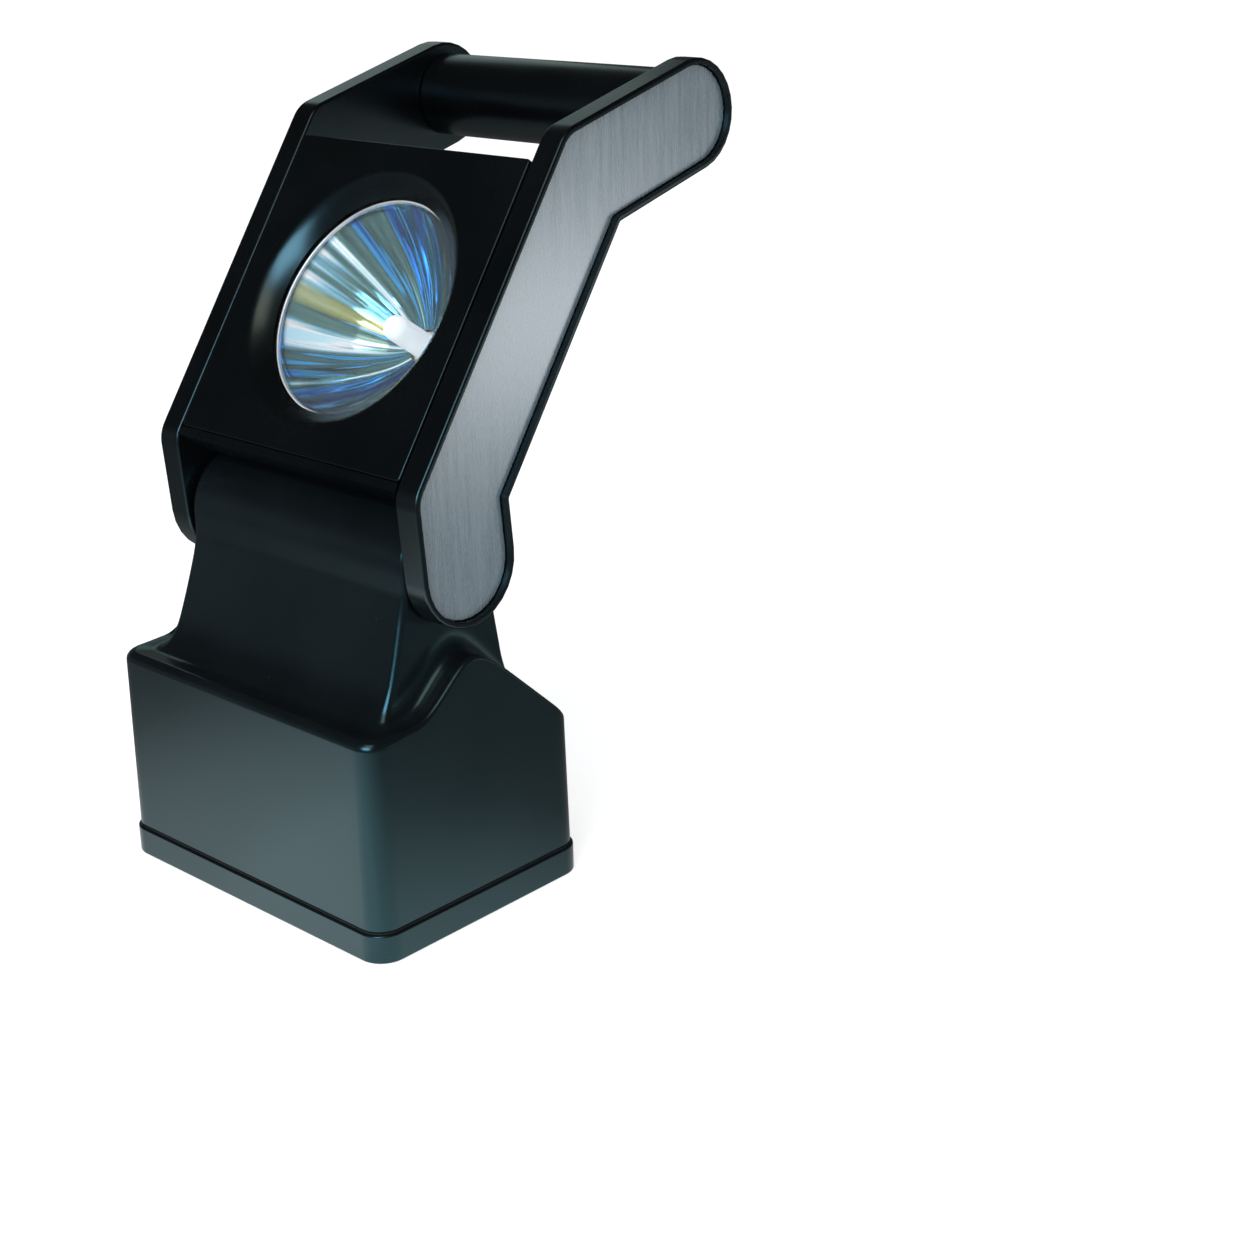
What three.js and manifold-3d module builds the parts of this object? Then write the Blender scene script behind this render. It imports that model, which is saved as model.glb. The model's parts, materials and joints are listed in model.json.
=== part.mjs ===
// Handheld spotlight: a battery base with a neck, and a lamp head that tilts between two side plates.
// Millimetres, +Z up. The beam points towards -Y, and +X is the right-hand side seen from the front.
// The origin is the centre of the base's underside.
import * as THREE from "three";
import { mergeVertices } from "three/addons/utils/BufferGeometryUtils.js";
import Module from "manifold-3d";

const wasm = await Module();
wasm.setup();

// Shared clearances and the fineness of curves
const CLEARANCE = 0.3; // gap between pieces that rest on or sit in each other
const OVERRUN = 2; // how far a cutting shape runs past what it cuts
const MERGE_DISTANCE = 1e-4; // vertices nearer than this are one
const ARC_STEP = THREE.MathUtils.degToRad(18); // largest turn between two points of an arc
const EDGE_STEPS = 1; // steps of a rounded edge
const SCREW_SIDES = 8; // sides of a screw and its hole
const NUT_SIDES = 6;
const ROUND_SIDES = 16; // sides of a round piece
const LARGE_SIDES = 32; // sides of a large round piece
const SHELF_STEPS = 3; // steps of the casing's rounded top edge
const NECK_STEPS = 9; // rings from the neck's foot to the pivot
const SIDE_POINTS = 12; // points along each side of the casing

// Base plate: the proud band at the foot of the lamp
const BASE_WIDTH = 140;
const BASE_DEPTH = 98;
const BASE_CORNER = 9.5;
const BAND_HEIGHT = 10.2;
const BAND_EDGE = 0.8; // rounding of the band's lower and upper edges
const BASE_FLOOR = 4;
const BASE_RIM = 4.2;
const SEAL_THICKNESS = 0.8;
const SEAL_WIDTH = 3;

// Casing: the battery box, its rear roof and the neck that carries the head
const CASING_STEP = 1.05; // how far the band stands proud of the casing
const CASING_DRAFT = 0.8; // how far each wall leans in from its foot to the shelf
const CASING_WALL = 3;
const SHELF_HEIGHT = 77.6;
const SHELF_EDGE = 3.4; // rounding between the walls and the top faces
const SHOULDER_RISE = 17.6; // from the shelf to where the shoulder would peak without its rounding
const SHOULDER_START = -27; // y at which the shoulder begins to rise
const SHOULDER_TOP = 3; // y at which the rise would be complete
const SHOULDER_BLEND = 2.6; // softness of the ridge between the shoulder and the roof
const SHOULDER_DIP = 2.4; // how far the valley beside the neck lies below the shoulder's edge
const ROOF_DROP = 21.3; // from the shelf down to the roof's foot at the back wall
const ROOF_SLOPE = THREE.MathUtils.degToRad(42.2);
const CAVITY_STEP = 7; // from the shelf down to the roof of the battery bay

// Neck and pivot
const PIVOT_Y = 1.9;
const NECK_HEIGHT = 48.6; // from the shelf up to the pivot
const BARREL_RADIUS = 20;
const NECK_INSET = 14.1; // from the band's ends in to the neck's sides
const NECK_CORNER = 2.6;
const SWEEP_DROP = 8.2; // from the pivot down to where the neck's front and back start to flare
const SHELF_DEPTH = 15.95; // from the casing's front wall back to the neck's foot
const FRONT_SWEEP_POWER = 1.25;
const REAR_SWEEP = 4.2;
const REAR_SWEEP_POWER = 1.5;
const SIDE_SWEEP_DROP = 14.2; // from the pivot down to where its sides start to flare
const SIDE_SWEEP_HEIGHT = 22; // over which they flare
const SIDE_SWEEP = 1.5;
const SIDE_SWEEP_POWER = 1.1;
const CHEEK = 8; // thickness of the neck's two bearing walls
const NECK_WALL = 4;
const AXLE_RADIUS = 8;
const AXLE_BORE = 4.6;
const LEAD_WINDOW = 12; // width of the slots that the lead passes through

// Fasteners of the base
const BASE_SCREW_INSET = 10.5; // from the casing's outer walls to the screws
const SCREW_POST_RADIUS = 5.4;
const SCREW_POST_HEIGHT = 24;
const BASE_SCREW_HEAD = 3.2;
const BASE_SCREW_HEAD_HEIGHT = 2.2;
const BASE_SCREW_SHANK = 1.5;
const BASE_SCREW_LENGTH = 20;
const SCREW_RECESS = 0.6; // how far a screw head lies below its surface
const SOCKET_SHARE = 0.45; // a screw's socket as a share of its head's radius
const SOCKET_DEPTH_SHARE = 0.6; // and as a share of its head's height

// Battery, its cradle and strap, and the charging contacts
const CELL_HEADROOM = 10.3; // between the battery and the roof of its bay
const CELL_EDGE = 2;
const CELL_GAP = 1;
const CRADLE_GAP = 3.8; // from the cradle to the tray's rim and to the charge board
const CRADLE_WALL = 2.2;
const CRADLE_HEIGHT = 13;
const STRAP_WIDTH = 16;
const STRAP_THICKNESS = 1.2;
const TERMINAL_RADIUS = 3;
const TERMINAL_HEIGHT = 3;
const CONTACT_INSET = 20; // from the band's right end in to the contacts
const CONTACT_Y = 1;
const CONTACT_SPACING = 18;
const CONTACT_RADIUS = 4;
const CONTACT_FACE = 1.6;
const CONTACT_STEM = 1.6;
const CONTACT_RECESS = 0.4;
const CARRIER_WIDTH = 14;
const CARRIER_DEPTH = 34;
const CARRIER_HEIGHT = 5;
const BOARD_THICKNESS = 1.6;
const BOARD_WIDTH = 20;
const CHIP_HEIGHT = 4;
const CHIP_SIDE = 9;
const BOARD_INSET = 12; // from the board's end to the centre of its tall component

// Head: everything that tilts, drawn in a frame that leans back with it.
// There y = 0, z = 0 is the pivot, z runs up the head and y runs back from the beam.
const HEAD_LEAN = THREE.MathUtils.degToRad(34.4);
const HEAD_FRONT = 34.5; // from the pivot forward to the flush front faces
const PLATE_THICKNESS = 10;
const PLATE_EDGE = 1.3;
const PLATE_DEPTH = 39.4; // front to back across the plate's long middle stretch
const LOBE_RADIUS = 20.7;
const FRONT_KINK_RADIUS = 12.1;
const FRONT_KINK_ALONG = 14.3;
const REAR_KINK_RADIUS = 1.2;
const REAR_KINK_ALONG = 27;
const HANDLE_RISE = 46.7; // from the head's top up to the handle
const HANDLE_BEHIND = 20.4;
const ARM_RADIUS = 19.1;
const ARM_BEND = THREE.MathUtils.degToRad(40); // how far the arm bends back from the head

// Trim plates let into the side plates
const TRIM_RIM = 2.1;
const TRIM_RECESS = 2.4;
const TRIM_THICKNESS = 1.2;
const TRIM_GAP = 0.35; // between a trim's edge and the wall of its pocket

// Pivot hardware, which the trim plates hide
const BUSH_WALL = 2;
const PIVOT_HEAD_RADIUS = 11;
const PIVOT_HEAD_HEIGHT = 2.6;
const PIVOT_SHANK_LENGTH = 16;
const DISC_RADIUS = 12;
const DISC_THICKNESS = 0.7;

// Screws that hold the side plates to the housing, and the handle between them
const PLATE_SCREW_HEAD = 4.2;
const PLATE_SCREW_HEAD_HEIGHT = 2.4;
const PLATE_SCREW_SHANK = 2;
const PLATE_SCREW_REACH = 11; // shank length below the head
const PLATE_BOSS = 5.5;
const PLATE_BOSS_LENGTH = 9;
const PLATE_SCREW_LOW_RISE = 17.1; // from the panel's foot up to the lower screw
const PLATE_SCREW_HIGH_DROP = 10.7; // from the head's top down to the upper screw
const PLATE_SCREW_BEHIND = -12;
const HANDLE_RADIUS = 15;
const HANDLE_WALL = 2.2;
const HANDLE_ROD = 4;
const HANDLE_NUT = 7.5;
const HANDLE_NUT_HEIGHT = 2.6;
const PLUG_LENGTH = 9;

// Housing and front panel
const PANEL_FOOT = 14.9;
const PANEL_THICKNESS = 4;
const PANEL_EDGE = 0.6;
const PANEL_CORNER = 1.6;
const HOUSING_WALL = 3;
const SILL_HEIGHT = 3.2; // the housing's front sill below the panel
const BARREL_GAP = 1.6; // between the neck's barrel and the housing's hollow underside
const COVE_MARGIN = 9.6; // from the cove's rim out to the side plates
const COVE_STEP_IN = 7.6; // from the cove's rim in to the aperture
const COVE_DEPTH = 6;
const COVE_POWER = 1.5; // the cove leaves the panel's face level and falls faster towards the lens
const COLLAR_WALL = 1.4; // from the cove's rim out to the collar's outside
const COVE_STEPS = 4;

// Lens, reflector and bulb
const LENS_LAP = 3; // how far the lens reaches behind the panel
const LENS_THICKNESS = 2.8;
const LENS_BULGE = 0.8;
const LENS_SEAL_WIDTH = 2.6;
const LENS_SEAL_THICKNESS = 1;
const REFLECTOR_SHARE = 0.758; // the bowl's depth as a share of its radius
const REFLECTOR_WALL = 1.8;
const REFLECTOR_FLANGE = 2;
const REFLECTOR_STEPS = 6;
const BULB_HOLE = 6.5;
const BULB_RADIUS = 4.6;
const BULB_LENGTH = 19;
const HOLDER_RADIUS = 10;
const HOLDER_LENGTH = 8;
const HOLDER_NECK = 4; // length of the spigot that the bulb hole receives

// Rear cover, rear cap and switch
const COVER_THICKNESS = 3;
const COVER_FOOT = 23.5;
const COVER_EDGE = 0.8;
const COVER_CORNER = 2.5;
const CAP_STEP_IN = 9.6; // how much smaller the cap's radius is than the lens's
const CAP_WALL = 2.4;
const CAP_ROOM = 0.5; // between the bulb holder and the cap
const CAP_FLANGE_WIDTH = 3;
const CAP_FLANGE_THICKNESS = 2;
const CAP_EDGE = 4;
const REAR_SCREW_INSET = 7;
const REAR_SCREW_HEAD = 2.9;
const REAR_SCREW_HEAD_HEIGHT = 1.8;
const REAR_SCREW_SHANK = 1.4;
const REAR_SCREW_LENGTH = 12;
const REAR_BOSS = 4;
const REAR_BOSS_LENGTH = 13;
const SWITCH_DROP = 11.5; // from the head's top down to the switch
const BUTTON_RADIUS = 6.5;
const BUTTON_HEIGHT = 7;
const BUTTON_PROUD = 3.4;
const BUTTON_TRAVEL = 2;
const BUTTON_EDGE = 1;
const SWITCH_RING_WIDTH = 2.4;
const SWITCH_RING_HEIGHT = 1.6;
const SWITCH_BODY_SIDE = 16;
const SWITCH_BODY_DEPTH = 11.6;
const SWITCH_FLOOR = 2;
const BUTTON_HOLLOW = 3.5; // depth of the hollow in the button that the spring rises into
const SPRING_RADIUS = 3;
const SPRING_WIRE = 0.5;
const SPRING_TURNS = 4;
const SPRING_STEPS = 8; // steps of one turn
const SPRING_SIDES = 5;
const LEAD_RADIUS = 1.2;
const LEAD_SIDES = 8;
const LEAD_STEPS = 20;
const DRIVER_INSET = 19; // from the housing's inner walls to the driver board
const DRIVER_DEPTH = 16;

// Finishes
function finish(colour, roughness, metalness) {
  return new THREE.MeshStandardMaterial({ color: colour, roughness, metalness });
}
const blackPaint = finish(0x1d2124, 0.42, 0.15);
const blackMoulding = finish(0x22282b, 0.5, 0.0);
const blackRubber = finish(0x111111, 0.85, 0.0);
const brushedTrim = finish(0xb4bcc4, 0.38, 0.9);
const steel = finish(0xb8b8b8, 0.3, 1.0);
const brass = finish(0xc8a860, 0.35, 1.0);
const mirror = finish(0xe8eef4, 0.05, 1.0);
const glass = finish(0xdfe9f2, 0.03, 0.0);
const greenBoard = finish(0x1f5a36, 0.6, 0.0);
const greyCell = finish(0x39424a, 0.6, 0.0);
const ceramic = finish(0xd8d2c4, 0.7, 0.0);
const greyLead = finish(0x4a4a4c, 0.7, 0.0);

// Values that follow from the ones above
const CASING_HALF_WIDTH = BASE_WIDTH / 2 - CASING_STEP;
const CASING_HALF_DEPTH = BASE_DEPTH / 2 - CASING_STEP;
const NECK_HALF_WIDTH = BASE_WIDTH / 2 - NECK_INSET;
const SHOULDER_HEIGHT = SHELF_HEIGHT + SHOULDER_RISE;
const ROOF_FOOT = SHELF_HEIGHT - ROOF_DROP;
const PIVOT_HEIGHT = SHELF_HEIGHT + NECK_HEIGHT;
const SWEEP_TOP = PIVOT_HEIGHT - SWEEP_DROP;
const SIDE_SWEEP_TOP = PIVOT_HEIGHT - SIDE_SWEEP_DROP;
const SIDE_SWEEP_FOOT = SIDE_SWEEP_TOP - SIDE_SWEEP_HEIGHT;
const FRONT_SWEEP = CASING_HALF_DEPTH - SHELF_DEPTH - BARREL_RADIUS + PIVOT_Y; // of the neck's foot
const PLATE_INNER = NECK_HALF_WIDTH + DISC_THICKNESS + 2 * CLEARANCE;
const PLATE_OUTER = PLATE_INNER + PLATE_THICKNESS;
const TRIM_FACE = PLATE_OUTER - TRIM_RECESS;
const POCKET_FLOOR = TRIM_FACE - TRIM_THICKNESS - CLEARANCE;
const HEAD_REAR = PLATE_DEPTH - HEAD_FRONT;
const HOUSING_HALF = PLATE_INNER - CLEARANCE;
const PANEL_LENGTH = 2 * HOUSING_HALF; // the front panel is as long as the head is wide
const HEAD_TOP = PANEL_FOOT + PANEL_LENGTH;
const LENS_ALONG = PANEL_FOOT + PANEL_LENGTH / 2;
const HANDLE_ALONG = HEAD_TOP + HANDLE_RISE;
const COVE_RADIUS = PLATE_INNER - COVE_MARGIN;
const APERTURE_RADIUS = COVE_RADIUS - COVE_STEP_IN;
const LENS_RADIUS = APERTURE_RADIUS + LENS_LAP;
const REFLECTOR_DEPTH = APERTURE_RADIUS * REFLECTOR_SHARE;
const COLLAR_RADIUS = COVE_RADIUS + COLLAR_WALL;
const COLLAR_DEPTH = COVE_DEPTH + LENS_THICKNESS + LENS_SEAL_THICKNESS + 2 * CLEARANCE;
const CAP_RADIUS = LENS_RADIUS - CAP_STEP_IN;
const CAP_FLANGE = CAP_RADIUS + CAP_FLANGE_WIDTH;
const DRIVER_WIDTH = 2 * (HOUSING_HALF - HOUSING_WALL - DRIVER_INSET);
const CASING_FOOT = BAND_HEIGHT + SEAL_THICKNESS + 2 * CLEARANCE;
const BASE_INSIDE = BASE_FLOOR + CLEARANCE;
const CONTACT_X = BASE_WIDTH / 2 - CONTACT_INSET;
const CRADLE_SIDE = CRADLE_WALL + CLEARANCE; // from the battery to the cradle's outside
const PACK_LEFT = CRADLE_SIDE + CRADLE_GAP + BASE_RIM - BASE_WIDTH / 2;
const PACK_RIGHT = CONTACT_X - BOARD_WIDTH / 2 - CRADLE_GAP - CRADLE_SIDE;
const CELL_WIDTH = (PACK_RIGHT - PACK_LEFT - CELL_GAP) / 2;
const BATTERY_X = (PACK_LEFT + PACK_RIGHT) / 2;
const SCREW_POST_Y = CASING_HALF_DEPTH - BASE_SCREW_INSET;
const CELL_DEPTH = 2 * (SCREW_POST_Y - SCREW_POST_RADIUS - 2 * CLEARANCE - CRADLE_SIDE);
const CELL_HEIGHT = SHELF_HEIGHT - CAVITY_STEP - CELL_HEADROOM - BASE_INSIDE;
const BOARD_DEPTH = CELL_DEPTH - 2 * CELL_EDGE;

// Joining and cutting
function toSolid(geometry) {
  const bare = geometry.clone();
  bare.deleteAttribute("normal");
  bare.deleteAttribute("uv");
  const merged = mergeVertices(bare, MERGE_DISTANCE);
  return new wasm.Manifold(
    new wasm.Mesh({
      numProp: 3,
      vertProperties: Float32Array.from(merged.attributes.position.array),
      triVerts: Uint32Array.from(merged.index.array),
    }),
  );
}

function toGeometry(solid) {
  const mesh = solid.getMesh();
  const geometry = new THREE.BufferGeometry();
  geometry.setAttribute("position", new THREE.BufferAttribute(mesh.vertProperties, 3));
  geometry.setIndex(new THREE.BufferAttribute(mesh.triVerts, 1));
  geometry.computeVertexNormals();
  return geometry;
}

function join(...geometries) {
  return toGeometry(geometries.map(toSolid).reduce((whole, next) => whole.add(next)));
}

function cut(geometry, ...cutters) {
  return toGeometry(cutters.map(toSolid).reduce((whole, next) => whole.subtract(next), toSolid(geometry)));
}

function common(geometry, other) {
  return toGeometry(toSolid(geometry).intersect(toSolid(other)));
}

// Plane outlines
function arcPoints(centreX, centreY, radius, from, to) {
  const steps = Math.max(1, Math.ceil(Math.abs(to - from) / ARC_STEP));
  return Array.from({ length: steps + 1 }, (_, i) => {
    const angle = from + ((to - from) * i) / steps;
    return new THREE.Vector2(centreX + radius * Math.cos(angle), centreY + radius * Math.sin(angle));
  });
}

// The outline of a belt round circles, taken anticlockwise. A circle whose radius is negative
// lies outside the belt, which bends round it the other way.
function beltOutline(circles) {
  const leaving = circles.map((from, i) => {
    const to = circles[(i + 1) % circles.length];
    const spacing = Math.hypot(to.x - from.x, to.y - from.y);
    return Math.atan2(to.y - from.y, to.x - from.x) - Math.asin((to.radius - from.radius) / spacing);
  });
  return circles.flatMap((circle, i) => {
    const arriving = leaving[(i + circles.length - 1) % circles.length];
    const turn = THREE.MathUtils.euclideanModulo(leaving[i] - arriving, 2 * Math.PI);
    const signedTurn = circle.radius > 0 ? turn : turn - 2 * Math.PI;
    const start = arriving - Math.PI / 2;
    return arcPoints(circle.x, circle.y, circle.radius, start, start + signedTurn);
  });
}

function roundedRectangle(halfX, halfY, corner, centreX = 0, centreY = 0) {
  return beltOutline(
    [
      [1, -1],
      [1, 1],
      [-1, 1],
      [-1, -1],
    ].map(([sideX, sideY]) => ({
      x: centreX + sideX * (halfX - corner),
      y: centreY + sideY * (halfY - corner),
      radius: corner,
    })),
  );
}

// Prisms: an outline drawn in two axes and pushed along the third
function prism(points, low, high, edge = 0, holes = []) {
  const shape = new THREE.Shape(points);
  shape.holes = holes.map((hole) => new THREE.Path(hole));
  const geometry = new THREE.ExtrudeGeometry(shape, {
    depth: high - low - 2 * edge,
    bevelEnabled: edge > 0,
    bevelThickness: edge,
    bevelSize: edge,
    bevelOffset: -edge,
    bevelSegments: EDGE_STEPS,
  });
  return geometry.translate(0, 0, low + edge);
}

// Outline in x and y, pushed along z
function prismZ(points, low, high, edge, holes) {
  return prism(points, low, high, edge, holes);
}

// Outline in y and z, pushed along x
function prismX(points, low, high, edge, holes) {
  const turn = new THREE.Matrix4().set(0, 0, 1, 0, 1, 0, 0, 0, 0, 1, 0, 0, 0, 0, 0, 1);
  return prism(points, low, high, edge, holes).applyMatrix4(turn);
}

// Outline in x and z, pushed along y
function prismY(points, low, high, edge, holes) {
  return prism(points, -high, -low, edge, holes).rotateX(Math.PI / 2);
}

function box(lowX, highX, lowY, highY, lowZ, highZ) {
  const geometry = new THREE.BoxGeometry(highX - lowX, highY - lowY, highZ - lowZ);
  return geometry.translate((lowX + highX) / 2, (lowY + highY) / 2, (lowZ + highZ) / 2);
}

// Turned pieces: a profile of [radius, place along the axis] pairs
function turned(profile, sides) {
  const points = profile.map(([radius, along]) => new THREE.Vector2(radius, along));
  if (THREE.ShapeUtils.area(points) < 0) points.reverse();
  return new THREE.LatheGeometry([...points, points[0]], sides);
}

// Axis along x, along y (places measured backwards) or along z
function turnedX(profile, sides = ROUND_SIDES) {
  return turned(profile, sides).rotateZ(-Math.PI / 2);
}
function turnedY(profile, sides = ROUND_SIDES) {
  return turned(profile, sides);
}
function turnedZ(profile, sides = ROUND_SIDES) {
  return turned(profile, sides).rotateX(Math.PI / 2);
}

function rod(radius, low, high) {
  return [
    [0, low],
    [radius, low],
    [radius, high],
    [0, high],
  ];
}

function tube(inner, outer, low, high) {
  return [
    [inner, low],
    [outer, low],
    [outer, high],
    [inner, high],
  ];
}

// A headed screw whose head's top lies at `top` and whose shank runs down the axis from it
function screwProfile(head, headHeight, shank, reach, top) {
  return [
    [0, top - headHeight - reach],
    [shank, top - headHeight - reach],
    [shank, top - headHeight],
    [head, top - headHeight],
    [head, top],
    [head * SOCKET_SHARE, top],
    [head * SOCKET_SHARE, top - headHeight * SOCKET_DEPTH_SHARE],
    [0, top - headHeight * SOCKET_DEPTH_SHARE],
  ];
}

// A surface stretched over closed rings of equal length, from the lowest ring up
function ringLoft(rings) {
  const count = rings[0].length;
  const places = rings.flat();
  const faces = [];
  rings.slice(1).forEach((_, level) => {
    const low = level * count;
    const high = low + count;
    for (let i = 0; i < count; i++) {
      const next = (i + 1) % count;
      faces.push(low + i, low + next, high + next, low + i, high + next, high + i);
    }
  });
  const middle = (ring) => ring.reduce((sum, p) => sum.add(p), new THREE.Vector3()).divideScalar(count);
  const foot = places.length;
  const crown = foot + 1;
  const lastRing = (rings.length - 1) * count;
  places.push(middle(rings[0]), middle(rings[rings.length - 1]));
  for (let i = 0; i < count; i++) {
    const next = (i + 1) % count;
    faces.push(foot, next, i, crown, lastRing + i, lastRing + next);
  }
  const geometry = new THREE.BufferGeometry().setFromPoints(places);
  geometry.setIndex(faces);
  return geometry;
}

function strand(points, radius, sides, steps) {
  const section = Array.from({ length: sides }, (_, i) => {
    const angle = (2 * Math.PI * i) / sides;
    return new THREE.Vector2(radius * Math.cos(angle), radius * Math.sin(angle));
  });
  return new THREE.ExtrudeGeometry(new THREE.Shape(section), {
    steps,
    extrudePath: new THREE.CatmullRomCurve3(points),
    bevelEnabled: false,
  });
}

function piece(name, geometry, material) {
  const mesh = new THREE.Mesh(geometry, material.clone());
  mesh.name = name;
  return mesh;
}

// Casing
function smoothStep(value) {
  const share = THREE.MathUtils.clamp(value, 0, 1);
  return share * share * (3 - 2 * share);
}

function softMinimum(a, b, softness) {
  return -softness * Math.log(Math.exp(-a / softness) + Math.exp(-b / softness));
}

// Height of the casing's top edge over its side walls
function shoulderHeight(y) {
  const rise = smoothStep((y - SHOULDER_START) / (SHOULDER_TOP - SHOULDER_START));
  const front = SHELF_HEIGHT + (SHOULDER_HEIGHT - SHELF_HEIGHT) * rise;
  const roof = ROOF_FOOT + (CASING_HALF_DEPTH - y) * Math.tan(ROOF_SLOPE);
  return softMinimum(front, roof, SHOULDER_BLEND);
}

// A rounded rectangle with further points along its two sides that run front to back,
// so that a ring can follow the shoulder's curve
function ringOutline(halfX, halfY, corner, centreY) {
  const outline = roundedRectangle(halfX, halfY, corner, 0, centreY);
  const perCorner = outline.length / 4;
  return outline.flatMap((point, i) => {
    const next = outline[(i + 1) % outline.length];
    const endsCorner = (i + 1) % perCorner === 0;
    if (!endsCorner || (i + 1) / perCorner % 2 === 0) return [point];
    return Array.from({ length: SIDE_POINTS }, (_, k) => point.clone().lerp(next, k / SIDE_POINTS));
  });
}

// A ring of the casing's wall, leaning in with height and inset by the rounded edge
function wallRing(inset, heightAt) {
  const corner = BASE_CORNER - CASING_STEP - inset / 2;
  const outline = ringOutline(CASING_HALF_WIDTH - inset, CASING_HALF_DEPTH - inset, corner, 0);
  return outline.map((p) => new THREE.Vector3(p.x, p.y, heightAt(p.y)));
}

// A ring of the neck: `rise` runs from 0 in the valley at its foot to 1 at the pivot's height
function neckRing(rise) {
  const flare = (z, top, foot, reach, power) =>
    reach * THREE.MathUtils.clamp((top - z) / (top - foot), 0, 1) ** power;
  const centreLine = SHELF_HEIGHT + (PIVOT_HEIGHT - SHELF_HEIGHT) * rise;
  const forward = flare(centreLine, SWEEP_TOP, SHELF_HEIGHT, FRONT_SWEEP, FRONT_SWEEP_POWER);
  const backward = flare(centreLine, SWEEP_TOP, SHELF_HEIGHT, REAR_SWEEP, REAR_SWEEP_POWER);
  const halfDepth = BARREL_RADIUS + (forward + backward) / 2;
  const outline = ringOutline(NECK_HALF_WIDTH, halfDepth, NECK_CORNER, PIVOT_Y + (backward - forward) / 2);
  return outline.map((p) => {
    const valley = shoulderHeight(p.y) - SHOULDER_DIP * (1 - rise);
    const z = valley + (PIVOT_HEIGHT - valley) * rise;
    const spread = flare(z, SIDE_SWEEP_TOP, SIDE_SWEEP_FOOT, SIDE_SWEEP, SIDE_SWEEP_POWER);
    return new THREE.Vector3(p.x + Math.sign(p.x) * spread, p.y, z);
  });
}

function casingOutside() {
  const rings = [wallRing(0, () => CASING_FOOT)];
  for (let i = 0; i <= SHELF_STEPS; i++) {
    const angle = (Math.PI / 2) * (i / SHELF_STEPS);
    const inset = CASING_DRAFT + SHELF_EDGE * (1 - Math.cos(angle));
    const drop = SHELF_EDGE * (1 - Math.sin(angle));
    rings.push(wallRing(inset, (y) => shoulderHeight(y) - drop));
  }
  for (let i = 0; i <= NECK_STEPS; i++) rings.push(neckRing(i / NECK_STEPS));
  return ringLoft(rings);
}

function barrel() {
  const shift = (geometry) => geometry.translate(0, PIVOT_Y, PIVOT_HEIGHT);
  const rounded = (side) =>
    arcPoints(BARREL_RADIUS - NECK_CORNER, side * (NECK_HALF_WIDTH - NECK_CORNER), NECK_CORNER,
      0, (side * Math.PI) / 2).map((p) => [p.x, p.y]);
  const profile = [[0, -NECK_HALF_WIDTH], ...rounded(-1).reverse(), ...rounded(1), [0, NECK_HALF_WIDTH]];
  return shift(turnedX(profile, LARGE_SIDES));
}

// The battery bay, open below, under the shelf and the sloping roof
function batteryBay() {
  const halfX = CASING_HALF_WIDTH - CASING_DRAFT - CASING_WALL;
  const halfY = CASING_HALF_DEPTH - CASING_DRAFT - CASING_WALL;
  const plan = roundedRectangle(halfX, halfY, BASE_CORNER - CASING_STEP - CASING_WALL);
  const ceiling = SHELF_HEIGHT - CAVITY_STEP;
  const roofWall = CASING_WALL / Math.cos(ROOF_SLOPE) + SHELF_EDGE;
  const roofAt = (y) => ROOF_FOOT + (CASING_HALF_DEPTH - y) * Math.tan(ROOF_SLOPE) - roofWall;
  const bend = CASING_HALF_DEPTH - (ceiling + roofWall - ROOF_FOOT) / Math.tan(ROOF_SLOPE);
  const side = [
    new THREE.Vector2(-BASE_DEPTH, 0),
    new THREE.Vector2(CASING_HALF_DEPTH, 0),
    new THREE.Vector2(CASING_HALF_DEPTH, roofAt(CASING_HALF_DEPTH)),
    new THREE.Vector2(bend, ceiling),
    new THREE.Vector2(-BASE_DEPTH, ceiling),
  ];
  return common(prismZ(plan, 0, ceiling + OVERRUN), prismX(side, -BASE_WIDTH, BASE_WIDTH));
}

// The hollow of the neck, which the axle crosses
function neckHollow() {
  const halfX = NECK_HALF_WIDTH - CHEEK;
  const halfY = BARREL_RADIUS - NECK_WALL;
  const low = SHELF_HEIGHT - CAVITY_STEP - OVERRUN;
  const shaft = box(-halfX, halfX, PIVOT_Y - halfY, PIVOT_Y + halfY, low, PIVOT_HEIGHT);
  const dome = turnedX(rod(halfY, -halfX, halfX), LARGE_SIDES).translate(0, PIVOT_Y, PIVOT_HEIGHT);
  const window = box(-LEAD_WINDOW / 2, LEAD_WINDOW / 2, PIVOT_Y, PIVOT_Y + LEAD_WINDOW,
    PIVOT_HEIGHT, PIVOT_HEIGHT + BARREL_RADIUS + OVERRUN);
  return [join(shaft, dome), window];
}

const screwPlaces = [
  [1, -1],
  [1, 1],
  [-1, 1],
  [-1, -1],
].map(([sideX, sideY]) => [
  sideX * (CASING_HALF_WIDTH - BASE_SCREW_INSET),
  sideY * SCREW_POST_Y,
]);

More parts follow.
